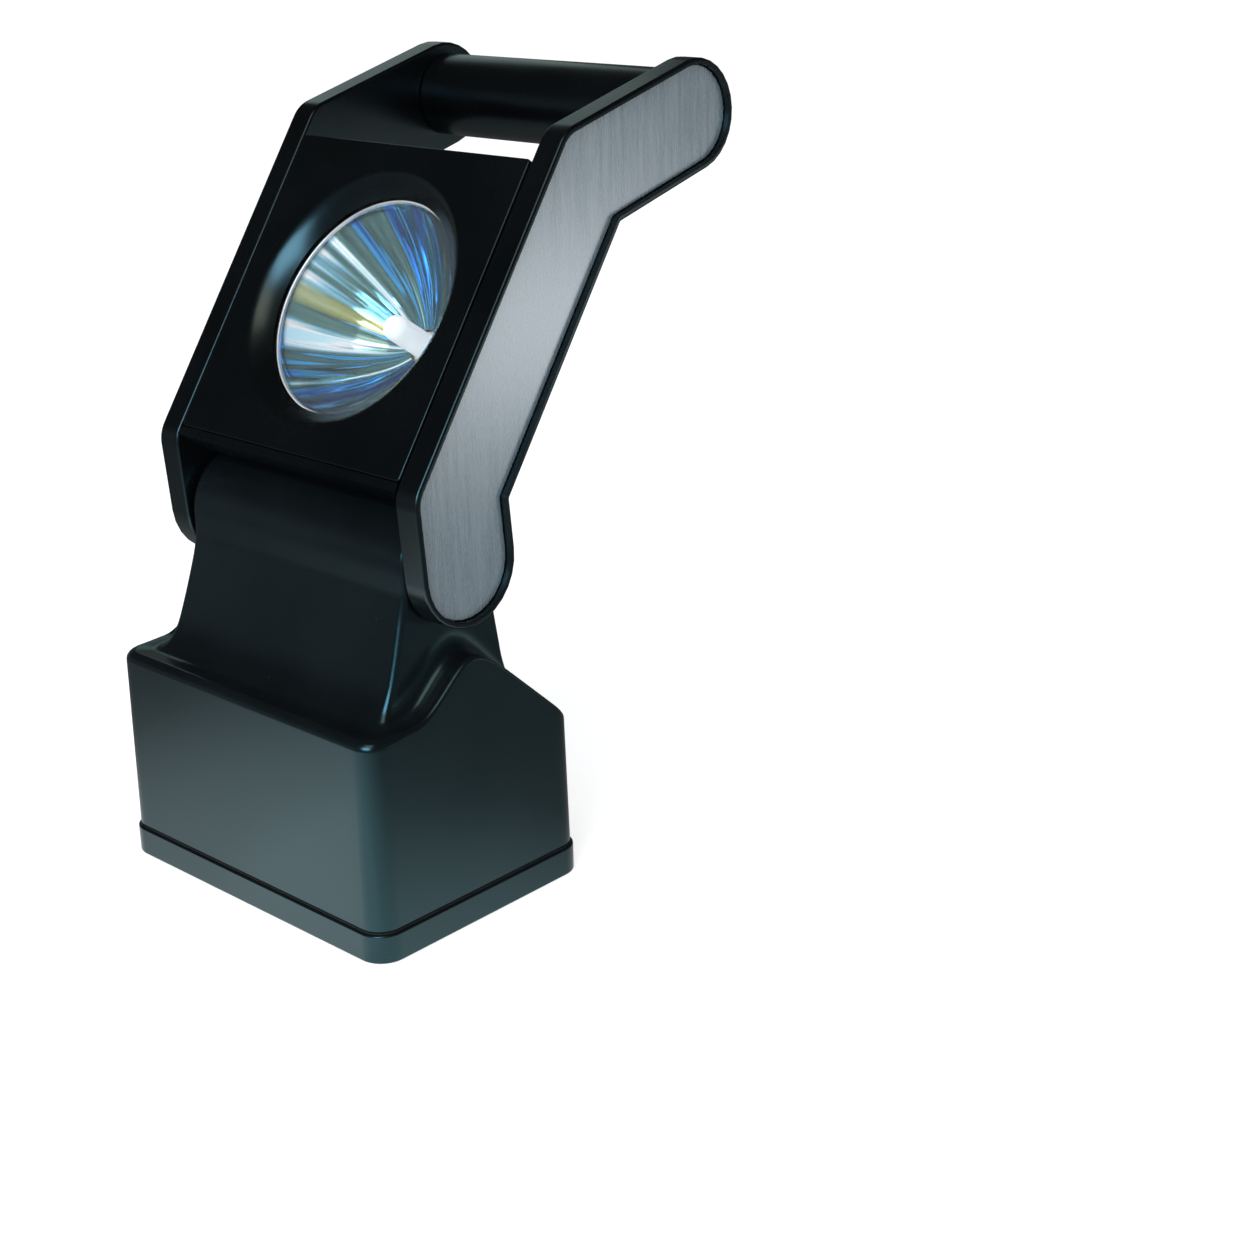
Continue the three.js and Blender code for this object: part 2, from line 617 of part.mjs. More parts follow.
function baseCasing() {
  const shell = cut(join(casingOutside(), barrel()), batteryBay(), ...neckHollow());
  const posts = screwPlaces.map(([x, y]) =>
    turnedZ(rod(SCREW_POST_RADIUS, CASING_FOOT, CASING_FOOT + SCREW_POST_HEIGHT)).translate(x, y, 0),
  );
  const webs = screwPlaces.map(([x, y]) => {
    const outX = Math.sign(x) * (CASING_HALF_WIDTH - CASING_DRAFT - CASING_WALL / 2);
    return box(Math.min(x, outX), Math.max(x, outX), y - CASING_WALL / 2, y + CASING_WALL / 2,
      CASING_FOOT, CASING_FOOT + SCREW_POST_HEIGHT);
  });
  const screwHoles = screwPlaces.map(([x, y]) =>
    turnedZ(rod(BASE_SCREW_SHANK + CLEARANCE, 0, BASE_SCREW_LENGTH + OVERRUN), SCREW_SIDES)
      .translate(x, y, 0),
  );
  const axleBore = turnedX(rod(AXLE_RADIUS + CLEARANCE, -BASE_WIDTH, BASE_WIDTH))
    .translate(0, PIVOT_Y, PIVOT_HEIGHT);
  return piece("base_casing", cut(join(shell, ...posts, ...webs), ...screwHoles, axleBore), blackMoulding);
}

// Base plate with its seal, screws, battery and charging gear
function basePlate() {
  const outer = roundedRectangle(BASE_WIDTH / 2, BASE_DEPTH / 2, BASE_CORNER);
  const inner = roundedRectangle(
    BASE_WIDTH / 2 - BASE_RIM,
    BASE_DEPTH / 2 - BASE_RIM,
    BASE_CORNER - BASE_RIM,
  );
  const tray = cut(
    prismZ(outer, 0, BAND_HEIGHT, BAND_EDGE),
    prismZ(inner, BASE_FLOOR, BAND_HEIGHT + OVERRUN),
  );
  const bosses = screwPlaces.map(([x, y]) =>
    turnedZ(rod(SCREW_POST_RADIUS, BASE_FLOOR / 2, CASING_FOOT - CLEARANCE)).translate(x, y, 0),
  );
  const headSeat = SCREW_RECESS + BASE_SCREW_HEAD_HEIGHT + CLEARANCE;
  const screwHoles = screwPlaces.flatMap(([x, y]) => [
    turnedZ(rod(BASE_SCREW_HEAD + CLEARANCE, -OVERRUN, headSeat), SCREW_SIDES).translate(x, y, 0),
    turnedZ(rod(BASE_SCREW_SHANK + CLEARANCE, 0, CASING_FOOT + OVERRUN), SCREW_SIDES).translate(x, y, 0),
  ]);
  const contactHoles = contactPlaces.flatMap((y) => [
    turnedZ(rod(CONTACT_RADIUS + CLEARANCE, -OVERRUN, CONTACT_RECESS + CONTACT_FACE + CLEARANCE))
      .translate(CONTACT_X, y, 0),
    turnedZ(rod(CONTACT_STEM + CLEARANCE, 0, BASE_FLOOR + OVERRUN)).translate(CONTACT_X, y, 0),
  ]);
  return piece("base_plate", cut(join(tray, ...bosses), ...screwHoles, ...contactHoles), blackMoulding);
}

function baseSeal() {
  const outer = roundedRectangle(CASING_HALF_WIDTH, CASING_HALF_DEPTH, BASE_CORNER - CASING_STEP);
  const inner = roundedRectangle(
    CASING_HALF_WIDTH - SEAL_WIDTH,
    CASING_HALF_DEPTH - SEAL_WIDTH,
    BASE_CORNER - CASING_STEP - SEAL_WIDTH,
  );
  const low = BAND_HEIGHT + CLEARANCE;
  return piece("base_seal", prismZ(outer, low, low + SEAL_THICKNESS, 0, [inner]), blackRubber);
}

function baseScrews() {
  return screwPlaces.map(([x, y], i) => {
    const profile = screwProfile(BASE_SCREW_HEAD, BASE_SCREW_HEAD_HEIGHT, BASE_SCREW_SHANK,
      BASE_SCREW_LENGTH - SCREW_RECESS - BASE_SCREW_HEAD_HEIGHT, 0);
    const screw = turnedZ(profile, SCREW_SIDES).rotateX(Math.PI).translate(x, y, SCREW_RECESS);
    return piece(`base_screw_${i + 1}`, screw, steel);
  });
}

const contactPlaces = [-1, 1].map((side) => CONTACT_Y + (side * CONTACT_SPACING) / 2);

function chargingGear() {
  const carrierTop = BASE_INSIDE + CARRIER_HEIGHT;
  const stemTop = carrierTop + CLEARANCE + BOARD_THICKNESS;
  const contacts = contactPlaces.map((y, i) => {
    const profile = [
      [0, CONTACT_RECESS],
      [CONTACT_RADIUS, CONTACT_RECESS],
      [CONTACT_RADIUS, CONTACT_RECESS + CONTACT_FACE],
      [CONTACT_STEM, CONTACT_RECESS + CONTACT_FACE],
      [CONTACT_STEM, stemTop],
      [0, stemTop],
    ];
    return piece(`charge_contact_${i + 1}`, turnedZ(profile).translate(CONTACT_X, y, 0), brass);
  });
  const stemHoles = contactPlaces.map((y) =>
    turnedZ(rod(CONTACT_STEM + CLEARANCE, 0, stemTop + OVERRUN)).translate(CONTACT_X, y, 0),
  );
  const carrier = box(CONTACT_X - CARRIER_WIDTH / 2, CONTACT_X + CARRIER_WIDTH / 2,
    CONTACT_Y - CARRIER_DEPTH / 2, CONTACT_Y + CARRIER_DEPTH / 2, BASE_INSIDE, carrierTop);
  const boardLow = carrierTop + CLEARANCE;
  const board = box(CONTACT_X - BOARD_WIDTH / 2, CONTACT_X + BOARD_WIDTH / 2,
    CONTACT_Y - BOARD_DEPTH / 2, CONTACT_Y + BOARD_DEPTH / 2, boardLow, boardLow + BOARD_THICKNESS);
  const chipY = CONTACT_Y + BOARD_DEPTH / 2 - BOARD_INSET;
  const chip = box(CONTACT_X - CHIP_SIDE / 2, CONTACT_X + CHIP_SIDE / 2, chipY - CHIP_SIDE / 2,
    chipY + CHIP_SIDE / 2, boardLow, boardLow + BOARD_THICKNESS + CHIP_HEIGHT);
  return [
    ...contacts,
    piece("contact_carrier", cut(carrier, ...stemHoles), blackMoulding),
    piece("charge_board", cut(join(board, chip), ...stemHoles), greenBoard),
  ];
}

function battery() {
  const low = BASE_INSIDE;
  const cellTop = low + CELL_HEIGHT;
  const halfPack = CELL_WIDTH + CELL_GAP / 2;
  const cells = [-1, 1].map((side, i) => {
    const centre = BATTERY_X + (side * (CELL_WIDTH + CELL_GAP)) / 2;
    const plan = roundedRectangle(CELL_WIDTH / 2, CELL_DEPTH / 2, CELL_EDGE, centre, 0);
    const terminals = [-1, 1].map((end) =>
      turnedZ(rod(TERMINAL_RADIUS, cellTop - TERMINAL_HEIGHT, cellTop + TERMINAL_HEIGHT))
        .translate(centre, end * (CELL_DEPTH / 2 - 2 * TERMINAL_RADIUS), 0),
    );
    return piece(`battery_${["left", "right"][i]}`, join(prismZ(plan, low, cellTop), ...terminals), greyCell);
  });
  const cradleInner = roundedRectangle(
    halfPack + CLEARANCE,
    CELL_DEPTH / 2 + CLEARANCE,
    CELL_EDGE,
    BATTERY_X,
    0,
  );
  const cradleOuter = roundedRectangle(
    halfPack + CLEARANCE + CRADLE_WALL,
    CELL_DEPTH / 2 + CLEARANCE + CRADLE_WALL,
    CELL_EDGE + CRADLE_WALL,
    BATTERY_X,
    0,
  );
  const cradle = prismZ(cradleOuter, low, low + CRADLE_HEIGHT, 0, [cradleInner]);
  const strapInside = halfPack + CLEARANCE;
  const strapOutside = strapInside + STRAP_THICKNESS;
  const strapFoot = low + CRADLE_HEIGHT + CLEARANCE;
  const strapTop = cellTop + CLEARANCE;
  const strap = cut(
    box(BATTERY_X - strapOutside, BATTERY_X + strapOutside, -STRAP_WIDTH / 2, STRAP_WIDTH / 2,
      strapFoot, strapTop + STRAP_THICKNESS),
    box(BATTERY_X - strapInside, BATTERY_X + strapInside, -STRAP_WIDTH, STRAP_WIDTH,
      strapFoot - OVERRUN, strapTop),
  );
  return [...cells, piece("battery_cradle", cradle, blackMoulding), piece("battery_strap", strap, steel)];
}

// Axle and friction discs, which stay with the neck
function pivotGear() {
  const halfLength = PLATE_INNER + BUSH_WALL;
  const slot = box(-LEAD_WINDOW / 2, LEAD_WINDOW / 2, PIVOT_Y - AXLE_BORE / 2, PIVOT_Y + AXLE_BORE / 2,
    PIVOT_HEIGHT - AXLE_RADIUS - OVERRUN, PIVOT_HEIGHT + AXLE_RADIUS + OVERRUN);
  const axle = turnedX(tube(AXLE_BORE, AXLE_RADIUS, -halfLength, halfLength))
    .translate(0, PIVOT_Y, PIVOT_HEIGHT);
  const discMiddle = (NECK_HALF_WIDTH + PLATE_INNER) / 2;
  const discs = [-1, 1].map((side, i) => {
    const profile = tube(AXLE_RADIUS + CLEARANCE, DISC_RADIUS,
      side * discMiddle - DISC_THICKNESS / 2, side * discMiddle + DISC_THICKNESS / 2);
    const disc = turnedX(profile, LARGE_SIDES).translate(0, PIVOT_Y, PIVOT_HEIGHT);
    return piece(`friction_disc_${["left", "right"][i]}`, disc, blackRubber);
  });
  return [piece("pivot_axle", cut(axle, slot), steel), ...discs];
}

// The lead from the charge board up through the neck to the axle
function neckLead() {
  const start = new THREE.Vector3(CONTACT_X, CONTACT_Y - CONTACT_SPACING / 2 - 2 * CONTACT_STEM,
    BASE_INSIDE + CARRIER_HEIGHT + 2 * CLEARANCE + BOARD_THICKNESS);
  const top = PIVOT_HEIGHT - AXLE_RADIUS - CLEARANCE;
  const ceiling = SHELF_HEIGHT - CAVITY_STEP;
  const risingX = CONTACT_X - CARRIER_WIDTH / 2;
  const route = [
    start,
    new THREE.Vector3(CONTACT_X, start.y, (start.z + ceiling) / 3),
    new THREE.Vector3(CONTACT_X, start.y, (start.z + ceiling) / 2),
    new THREE.Vector3(risingX, PIVOT_Y, ceiling),
    new THREE.Vector3(risingX / 3, PIVOT_Y, (ceiling + top) / 2),
    new THREE.Vector3(0, PIVOT_Y, top - 2 * LEAD_RADIUS),
    new THREE.Vector3(0, PIVOT_Y, top),
  ];
  return piece("neck_lead", strand(route, LEAD_RADIUS, LEAD_SIDES, LEAD_STEPS), greyLead);
}

// Side plates and trims
const armRise = Math.PI / 2 - ARM_BEND; // the arm's climb, measured from the head's own level

// Outline of a side plate in the head's y and z, with each edge drawn in by `inset`
function plateOutline(inset) {
  const kinkBehind = FRONT_KINK_RADIUS - HEAD_FRONT;
  const armNormal = { y: -Math.sin(armRise), z: Math.cos(armRise) };
  const alongFor = (y, standOff) =>
    HANDLE_ALONG + (standOff - (y - HANDLE_BEHIND) * armNormal.y) / armNormal.z;
  const rearBehind = HEAD_REAR + REAR_KINK_RADIUS;
  const rearTop = alongFor(rearBehind, -ARM_RADIUS - REAR_KINK_RADIUS);
  const frontTop = alongFor(kinkBehind, ARM_RADIUS - FRONT_KINK_RADIUS);
  const circles = [
    { x: 0, y: 0, radius: LOBE_RADIUS - inset },
    { x: rearBehind, y: REAR_KINK_ALONG, radius: -(REAR_KINK_RADIUS + inset) },
    { x: rearBehind, y: rearTop, radius: -(REAR_KINK_RADIUS + inset) },
    { x: HANDLE_BEHIND, y: HANDLE_ALONG, radius: ARM_RADIUS - inset },
    { x: kinkBehind, y: frontTop, radius: FRONT_KINK_RADIUS - inset },
    { x: kinkBehind, y: FRONT_KINK_ALONG, radius: FRONT_KINK_RADIUS - inset },
  ];
  return beltOutline(circles);
}

const plateScrewPlaces = [
  [PLATE_SCREW_BEHIND, PANEL_FOOT + PLATE_SCREW_LOW_RISE],
  [PLATE_SCREW_BEHIND, HEAD_TOP - PLATE_SCREW_HIGH_DROP],
];

// Right-hand pieces are drawn at +x, and the left-hand ones are their mirror images
function mirrored(geometry, side) {
  if (side > 0) return geometry;
  const copy = toGeometry(toSolid(geometry)).scale(-1, 1, 1);
  const order = copy.index.array;
  for (let i = 0; i < order.length; i += 3) [order[i + 1], order[i + 2]] = [order[i + 2], order[i + 1]];
  copy.computeVertexNormals();
  return copy;
}

function sidePlate() {
  const plate = prismX(plateOutline(0), PLATE_INNER, PLATE_OUTER, PLATE_EDGE);
  const pocket = prismX(plateOutline(TRIM_RIM), POCKET_FLOOR, PLATE_OUTER + OVERRUN);
  const recess = (radius, height, y, z, sides) =>
    turnedX(rod(radius + CLEARANCE, POCKET_FLOOR - height - 2 * CLEARANCE, POCKET_FLOOR + OVERRUN), sides)
      .translate(0, y, z);
  const hole = (radius, y, z, sides) =>
    turnedX(rod(radius + CLEARANCE, PLATE_INNER - OVERRUN, PLATE_OUTER), sides).translate(0, y, z);
  const screwCuts = plateScrewPlaces.flatMap(([y, z]) => [
    recess(PLATE_SCREW_HEAD, PLATE_SCREW_HEAD_HEIGHT, y, z, SCREW_SIDES),
    hole(PLATE_SCREW_SHANK, y, z, SCREW_SIDES),
  ]);
  return cut(
    plate,
    pocket,
    recess(PIVOT_HEAD_RADIUS, PIVOT_HEAD_HEIGHT, 0, 0),
    hole(AXLE_RADIUS + BUSH_WALL, 0, 0),
    recess(HANDLE_NUT, HANDLE_NUT_HEIGHT, HANDLE_BEHIND, HANDLE_ALONG),
    hole(HANDLE_ROD, HANDLE_BEHIND, HANDLE_ALONG),
    ...screwCuts,
  );
}

function sideGear(side, word) {
  const trim = prismX(plateOutline(TRIM_RIM + TRIM_GAP), TRIM_FACE - TRIM_THICKNESS, TRIM_FACE);
  const headTop = POCKET_FLOOR - CLEARANCE;
  const bushEnd = headTop - PIVOT_HEAD_HEIGHT - CLEARANCE;
  const bush = turnedX(tube(AXLE_RADIUS + CLEARANCE, AXLE_RADIUS + BUSH_WALL, PLATE_INNER, bushEnd));
  const pivotBolt = turnedX(screwProfile(PIVOT_HEAD_RADIUS, PIVOT_HEAD_HEIGHT, AXLE_BORE - CLEARANCE,
    PIVOT_SHANK_LENGTH, headTop));
  const nutBlank = turnedX(rod(HANDLE_NUT, headTop - HANDLE_NUT_HEIGHT, headTop), NUT_SIDES);
  const nutBore = turnedX(rod(HANDLE_ROD + CLEARANCE, PLATE_INNER, PLATE_OUTER));
  const nut = cut(nutBlank, nutBore).translate(0, HANDLE_BEHIND, HANDLE_ALONG);
  const plugEnd = HOUSING_HALF - CLEARANCE;
  const plug = turnedX(tube(HANDLE_ROD + CLEARANCE, HANDLE_RADIUS - HANDLE_WALL - CLEARANCE,
    plugEnd - PLUG_LENGTH, plugEnd)).translate(0, HANDLE_BEHIND, HANDLE_ALONG);
  const plateScrews = plateScrewPlaces.map(([y, z], i) => {
    const screw = turnedX(screwProfile(PLATE_SCREW_HEAD, PLATE_SCREW_HEAD_HEIGHT, PLATE_SCREW_SHANK,
      PLATE_SCREW_REACH, headTop), SCREW_SIDES).translate(0, y, z);
    return piece(`plate_screw_${word}_${["low", "high"][i]}`, mirrored(screw, side), steel);
  });
  return [
    piece(`side_plate_${word}`, mirrored(sidePlate(), side), blackPaint),
    piece(`side_trim_${word}`, mirrored(trim, side), brushedTrim),
    piece(`pivot_bush_${word}`, mirrored(bush, side), brass),
    piece(`pivot_bolt_${word}`, mirrored(pivotBolt, side), steel),
    piece(`handle_nut_${word}`, mirrored(nut, side), steel),
    piece(`handle_plug_${word}`, mirrored(plug, side), blackMoulding),
    ...plateScrews,
  ];
}

function handle() {
  const place = (geometry) => geometry.translate(0, HANDLE_BEHIND, HANDLE_ALONG);
  const section = tube(HANDLE_RADIUS - HANDLE_WALL, HANDLE_RADIUS, -HOUSING_HALF, HOUSING_HALF);
  const grip = turnedX(section, LARGE_SIDES);
  const rodEnd = POCKET_FLOOR - 2 * CLEARANCE;
  return [
    piece("handle_tube", place(grip), blackPaint),
    piece("handle_rod", place(turnedX(rod(HANDLE_ROD, -rodEnd, rodEnd))), steel),
  ];
}

// Housing, front panel and rear cover
const housingFront = PANEL_THICKNESS + CLEARANCE - HEAD_FRONT;
const housingRear = HEAD_REAR - COVER_THICKNESS - CLEARANCE;
const underside = BARREL_RADIUS + BARREL_GAP;

const rearScrewPlaces = [
  [1, COVER_FOOT + REAR_SCREW_INSET],
  [1, HEAD_TOP - REAR_SCREW_INSET],
  [-1, HEAD_TOP - REAR_SCREW_INSET],
  [-1, COVER_FOOT + REAR_SCREW_INSET],
].map(([side, z]) => [side * (HOUSING_HALF - CLEARANCE - REAR_SCREW_INSET), z]);

// Side outline of the housing, whose underside is hollowed round the neck's barrel
function housingOutline(radius, foot, front, rear, top) {
  const meet = Math.asin(foot / radius);
  const end = Math.acos(rear / radius);
  return [
    new THREE.Vector2(front, foot),
    ...arcPoints(0, 0, radius, Math.PI - meet, end),
    new THREE.Vector2(rear, top),
    new THREE.Vector2(front, top),
  ];
}

function headHousing() {
  const foot = PANEL_FOOT - CLEARANCE - SILL_HEIGHT;
  const block = prismX(housingOutline(underside, foot, housingFront, housingRear, HEAD_TOP),
    -HOUSING_HALF, HOUSING_HALF);
  const sillTop = foot + SILL_HEIGHT;
  const sill = box(-HOUSING_HALF, HOUSING_HALF, -HEAD_FRONT, housingFront + OVERRUN, foot, sillTop);
  const inside = prismX(
    housingOutline(underside + HOUSING_WALL, sillTop + HOUSING_WALL, housingFront - OVERRUN,
      housingRear + OVERRUN, HEAD_TOP - HOUSING_WALL),
    -HOUSING_HALF + HOUSING_WALL,
    HOUSING_HALF - HOUSING_WALL,
  );
  const shell = cut(join(block, sill), inside);
  const sideBosses = [-1, 1].flatMap((side) =>
    plateScrewPlaces.map(([y, z]) =>
      mirrored(turnedX(rod(PLATE_BOSS, HOUSING_HALF - PLATE_BOSS_LENGTH, HOUSING_HALF - HOUSING_WALL / 2))
        .translate(0, y, z), side),
    ),
  );
  const rearBosses = rearScrewPlaces.map(([x, z]) => {
    const outX = Math.sign(x) * (HOUSING_HALF - HOUSING_WALL / 2);
    return box(Math.min(x - Math.sign(x) * REAR_BOSS, outX), Math.max(x - Math.sign(x) * REAR_BOSS, outX),
      housingRear - REAR_BOSS_LENGTH, housingRear, z - REAR_BOSS, z + REAR_BOSS);
  });
  const sideHoles = [-1, 1].flatMap((side) =>
    plateScrewPlaces.map(([y, z]) =>
      mirrored(turnedX(rod(PLATE_SCREW_SHANK + CLEARANCE, HOUSING_HALF - PLATE_BOSS_LENGTH - OVERRUN,
        HOUSING_HALF + OVERRUN), SCREW_SIDES).translate(0, y, z), side),
    ),
  );
  const rearHoles = rearScrewPlaces.map(([x, z]) =>
    turnedY(rod(REAR_SCREW_SHANK + CLEARANCE, housingRear - REAR_SCREW_LENGTH, housingRear + OVERRUN),
      SCREW_SIDES).translate(x, 0, z),
  );
  const leadHole = turnedZ(rod(LEAD_WINDOW / 2, 0, underside + HOUSING_WALL + OVERRUN))
    .translate(0, -AXLE_RADIUS, 0);
  return piece(
    "head_housing",
    cut(join(shell, ...sideBosses, ...rearBosses), ...sideHoles, ...rearHoles, leadHole),
    blackPaint,
  );
}

// Profile of the panel's collar: the cove that leads in to the lens, and the rebate behind it
function coveProfile() {
  const cove = Array.from({ length: COVE_STEPS + 1 }, (_, i) => {
    const share = i / COVE_STEPS;
    return [COVE_RADIUS - COVE_STEP_IN * share, -HEAD_FRONT + COVE_DEPTH * share ** COVE_POWER];
  });
  const rebate = LENS_RADIUS + CLEARANCE;
  return [
    ...cove,
    [rebate, -HEAD_FRONT + COVE_DEPTH],
    [rebate, -HEAD_FRONT + COLLAR_DEPTH],
    [COLLAR_RADIUS, -HEAD_FRONT + COLLAR_DEPTH],
    [COLLAR_RADIUS, -HEAD_FRONT],
  ];
}

function frontPanel() {
  const half = HOUSING_HALF - CLEARANCE;
  const outline = roundedRectangle(half, PANEL_LENGTH / 2, PANEL_CORNER, 0, LENS_ALONG);
  const slab = prismY(outline, -HEAD_FRONT, -HEAD_FRONT + PANEL_THICKNESS, PANEL_EDGE);
  const inCollar = COVE_RADIUS + COLLAR_WALL / 2;
  const opening = turnedY(rod(inCollar, -HEAD_FRONT - OVERRUN, 0), LARGE_SIDES).translate(0, 0, LENS_ALONG);
  const collar = turnedY(coveProfile(), LARGE_SIDES).translate(0, 0, LENS_ALONG);
  return piece("front_panel", join(cut(slab, opening), collar), blackPaint);
}

function rearCover() {
  const half = HOUSING_HALF - CLEARANCE;
  const middle = (COVER_FOOT + HEAD_TOP) / 2;
  const outline = roundedRectangle(half, (HEAD_TOP - COVER_FOOT) / 2, COVER_CORNER, 0, middle);
  const coverFront = HEAD_REAR - COVER_THICKNESS;
  const slab = prismY(outline, coverFront, HEAD_REAR, COVER_EDGE);
  const through = (radius, x, z, sides = LARGE_SIDES) =>
    turnedY(rod(radius, coverFront - OVERRUN, HEAD_REAR + OVERRUN), sides).translate(x, 0, z);
  const headSeat = HEAD_REAR - REAR_SCREW_HEAD_HEIGHT - CLEARANCE;
  const screwCuts = rearScrewPlaces.flatMap(([x, z]) => [
    through(REAR_SCREW_SHANK + CLEARANCE, x, z, SCREW_SIDES),
    turnedY(rod(REAR_SCREW_HEAD + CLEARANCE, headSeat, HEAD_REAR + OVERRUN), SCREW_SIDES).translate(x, 0, z),
  ]);
  return piece(
    "rear_cover",
    cut(
      slab,
      through(CAP_RADIUS - CAP_WALL, 0, LENS_ALONG),
      through(BUTTON_RADIUS + CLEARANCE, 0, HEAD_TOP - SWITCH_DROP),
      ...screwCuts,
    ),
    blackPaint,
  );
}

function rearScrews() {
  return rearScrewPlaces.map(([x, z], i) => {
    const screw = turnedY(screwProfile(REAR_SCREW_HEAD, REAR_SCREW_HEAD_HEIGHT, REAR_SCREW_SHANK,
      REAR_SCREW_LENGTH - REAR_SCREW_HEAD_HEIGHT, HEAD_REAR), SCREW_SIDES).translate(x, 0, z);
    return piece(`rear_screw_${i + 1}`, screw, steel);
  });
}

// Places along the beam's axis, from the lens back to the bulb holder
const lensFront = -HEAD_FRONT + COVE_DEPTH + CLEARANCE;
const sealFront = lensFront + LENS_THICKNESS + CLEARANCE;
const flangeFront = sealFront + LENS_SEAL_THICKNESS + CLEARANCE;
const vertex = flangeFront + REFLECTOR_DEPTH;
const holderFront = vertex + REFLECTOR_WALL + CLEARANCE;
const holderRear = holderFront + HOLDER_LENGTH;

function rearCap() {
  const seat = HEAD_REAR + CLEARANCE;
  const rim = seat + CAP_FLANGE_THICKNESS;
  const top = holderRear + CAP_ROOM + CAP_WALL;
  const crown = arcPoints(CAP_RADIUS - CAP_EDGE, top - CAP_EDGE, CAP_EDGE, 0, Math.PI / 2);
  const profile = [
    [CAP_RADIUS - CAP_WALL, seat],
    [CAP_FLANGE, seat],
    [CAP_FLANGE, rim],
    [CAP_RADIUS, rim],
    ...crown.map((p) => [p.x, p.y]),
    [0, top],
    [0, top - CAP_WALL],
    [CAP_RADIUS - CAP_WALL, top - CAP_WALL],
  ];
  return piece("rear_cap", turnedY(profile, LARGE_SIDES).translate(0, 0, LENS_ALONG), blackPaint);
}

// Lens, reflector and bulb, all turned about the beam's axis
// The reflector's radius at a distance in front of its vertex
function bowlRadius(distance) {
  return APERTURE_RADIUS * Math.sqrt(distance / REFLECTOR_DEPTH);
}

function optics() {
  const onAxis = (geometry) => geometry.translate(0, 0, LENS_ALONG);
  const lens = [
    [0, lensFront - LENS_BULGE + CLEARANCE],
    [LENS_RADIUS / 2, lensFront - LENS_BULGE / 2],
    [LENS_RADIUS - LENS_SEAL_WIDTH, lensFront],
    [LENS_RADIUS, lensFront],
    [LENS_RADIUS, lensFront + LENS_THICKNESS],
    [0, lensFront + LENS_THICKNESS],
  ];
  const seal = tube(LENS_RADIUS - LENS_SEAL_WIDTH, LENS_RADIUS, sealFront, sealFront + LENS_SEAL_THICKNESS);
  const holeDistance = REFLECTOR_DEPTH * (BULB_HOLE / APERTURE_RADIUS) ** 2;
  const distances = Array.from({ length: REFLECTOR_STEPS + 1 }, (_, i) =>
    holeDistance + (REFLECTOR_DEPTH - holeDistance) * (i / REFLECTOR_STEPS) ** 2,
  );
  const inner = distances.map((d) => [bowlRadius(d), vertex - d]);
  const outer = distances.map((d) => [bowlRadius(d) + REFLECTOR_WALL, vertex - d + REFLECTOR_WALL]).reverse();
  outer[0][1] = flangeFront + REFLECTOR_FLANGE;
  const flangeEdge = (LENS_RADIUS + COLLAR_RADIUS) / 2;
  const bowl = [
    ...inner,
    [flangeEdge, flangeFront],
    [flangeEdge, flangeFront + REFLECTOR_FLANGE],
    ...outer,
  ];
  const spigot = BULB_HOLE - CLEARANCE;
  const holder = [
    [0, holderFront - HOLDER_NECK / 2],
    [spigot - CLEARANCE, holderFront - HOLDER_NECK / 2],
    [spigot - CLEARANCE, holderFront],
    [HOLDER_RADIUS, holderFront],
    [HOLDER_RADIUS, holderRear],
    [0, holderRear],
  ];
  const bulbFoot = holderFront - HOLDER_NECK / 2 - CLEARANCE;
  const bulbTip = bulbFoot - BULB_LENGTH;
  const dome = arcPoints(0, bulbTip + BULB_RADIUS, BULB_RADIUS, 0, -Math.PI / 2).map((p) => [p.x, p.y]);
  dome[dome.length - 1][0] = 0;
  const bulb = [[0, bulbFoot], [BULB_RADIUS, bulbFoot], ...dome];
  return [
    piece("lens", onAxis(turnedY(lens, LARGE_SIDES)), glass),
    piece("lens_seal", onAxis(turnedY(seal, LARGE_SIDES)), blackRubber),
    piece("reflector", onAxis(turnedY(bowl, LARGE_SIDES)), mirror),
    piece("bulb", onAxis(turnedY(bulb)), glass),
    piece("bulb_holder", onAxis(turnedY(holder)), ceramic),
  ];
}

// Switch: a sprung push button in the rear cover, under the handle
const buttonAlong = HEAD_TOP - SWITCH_DROP;

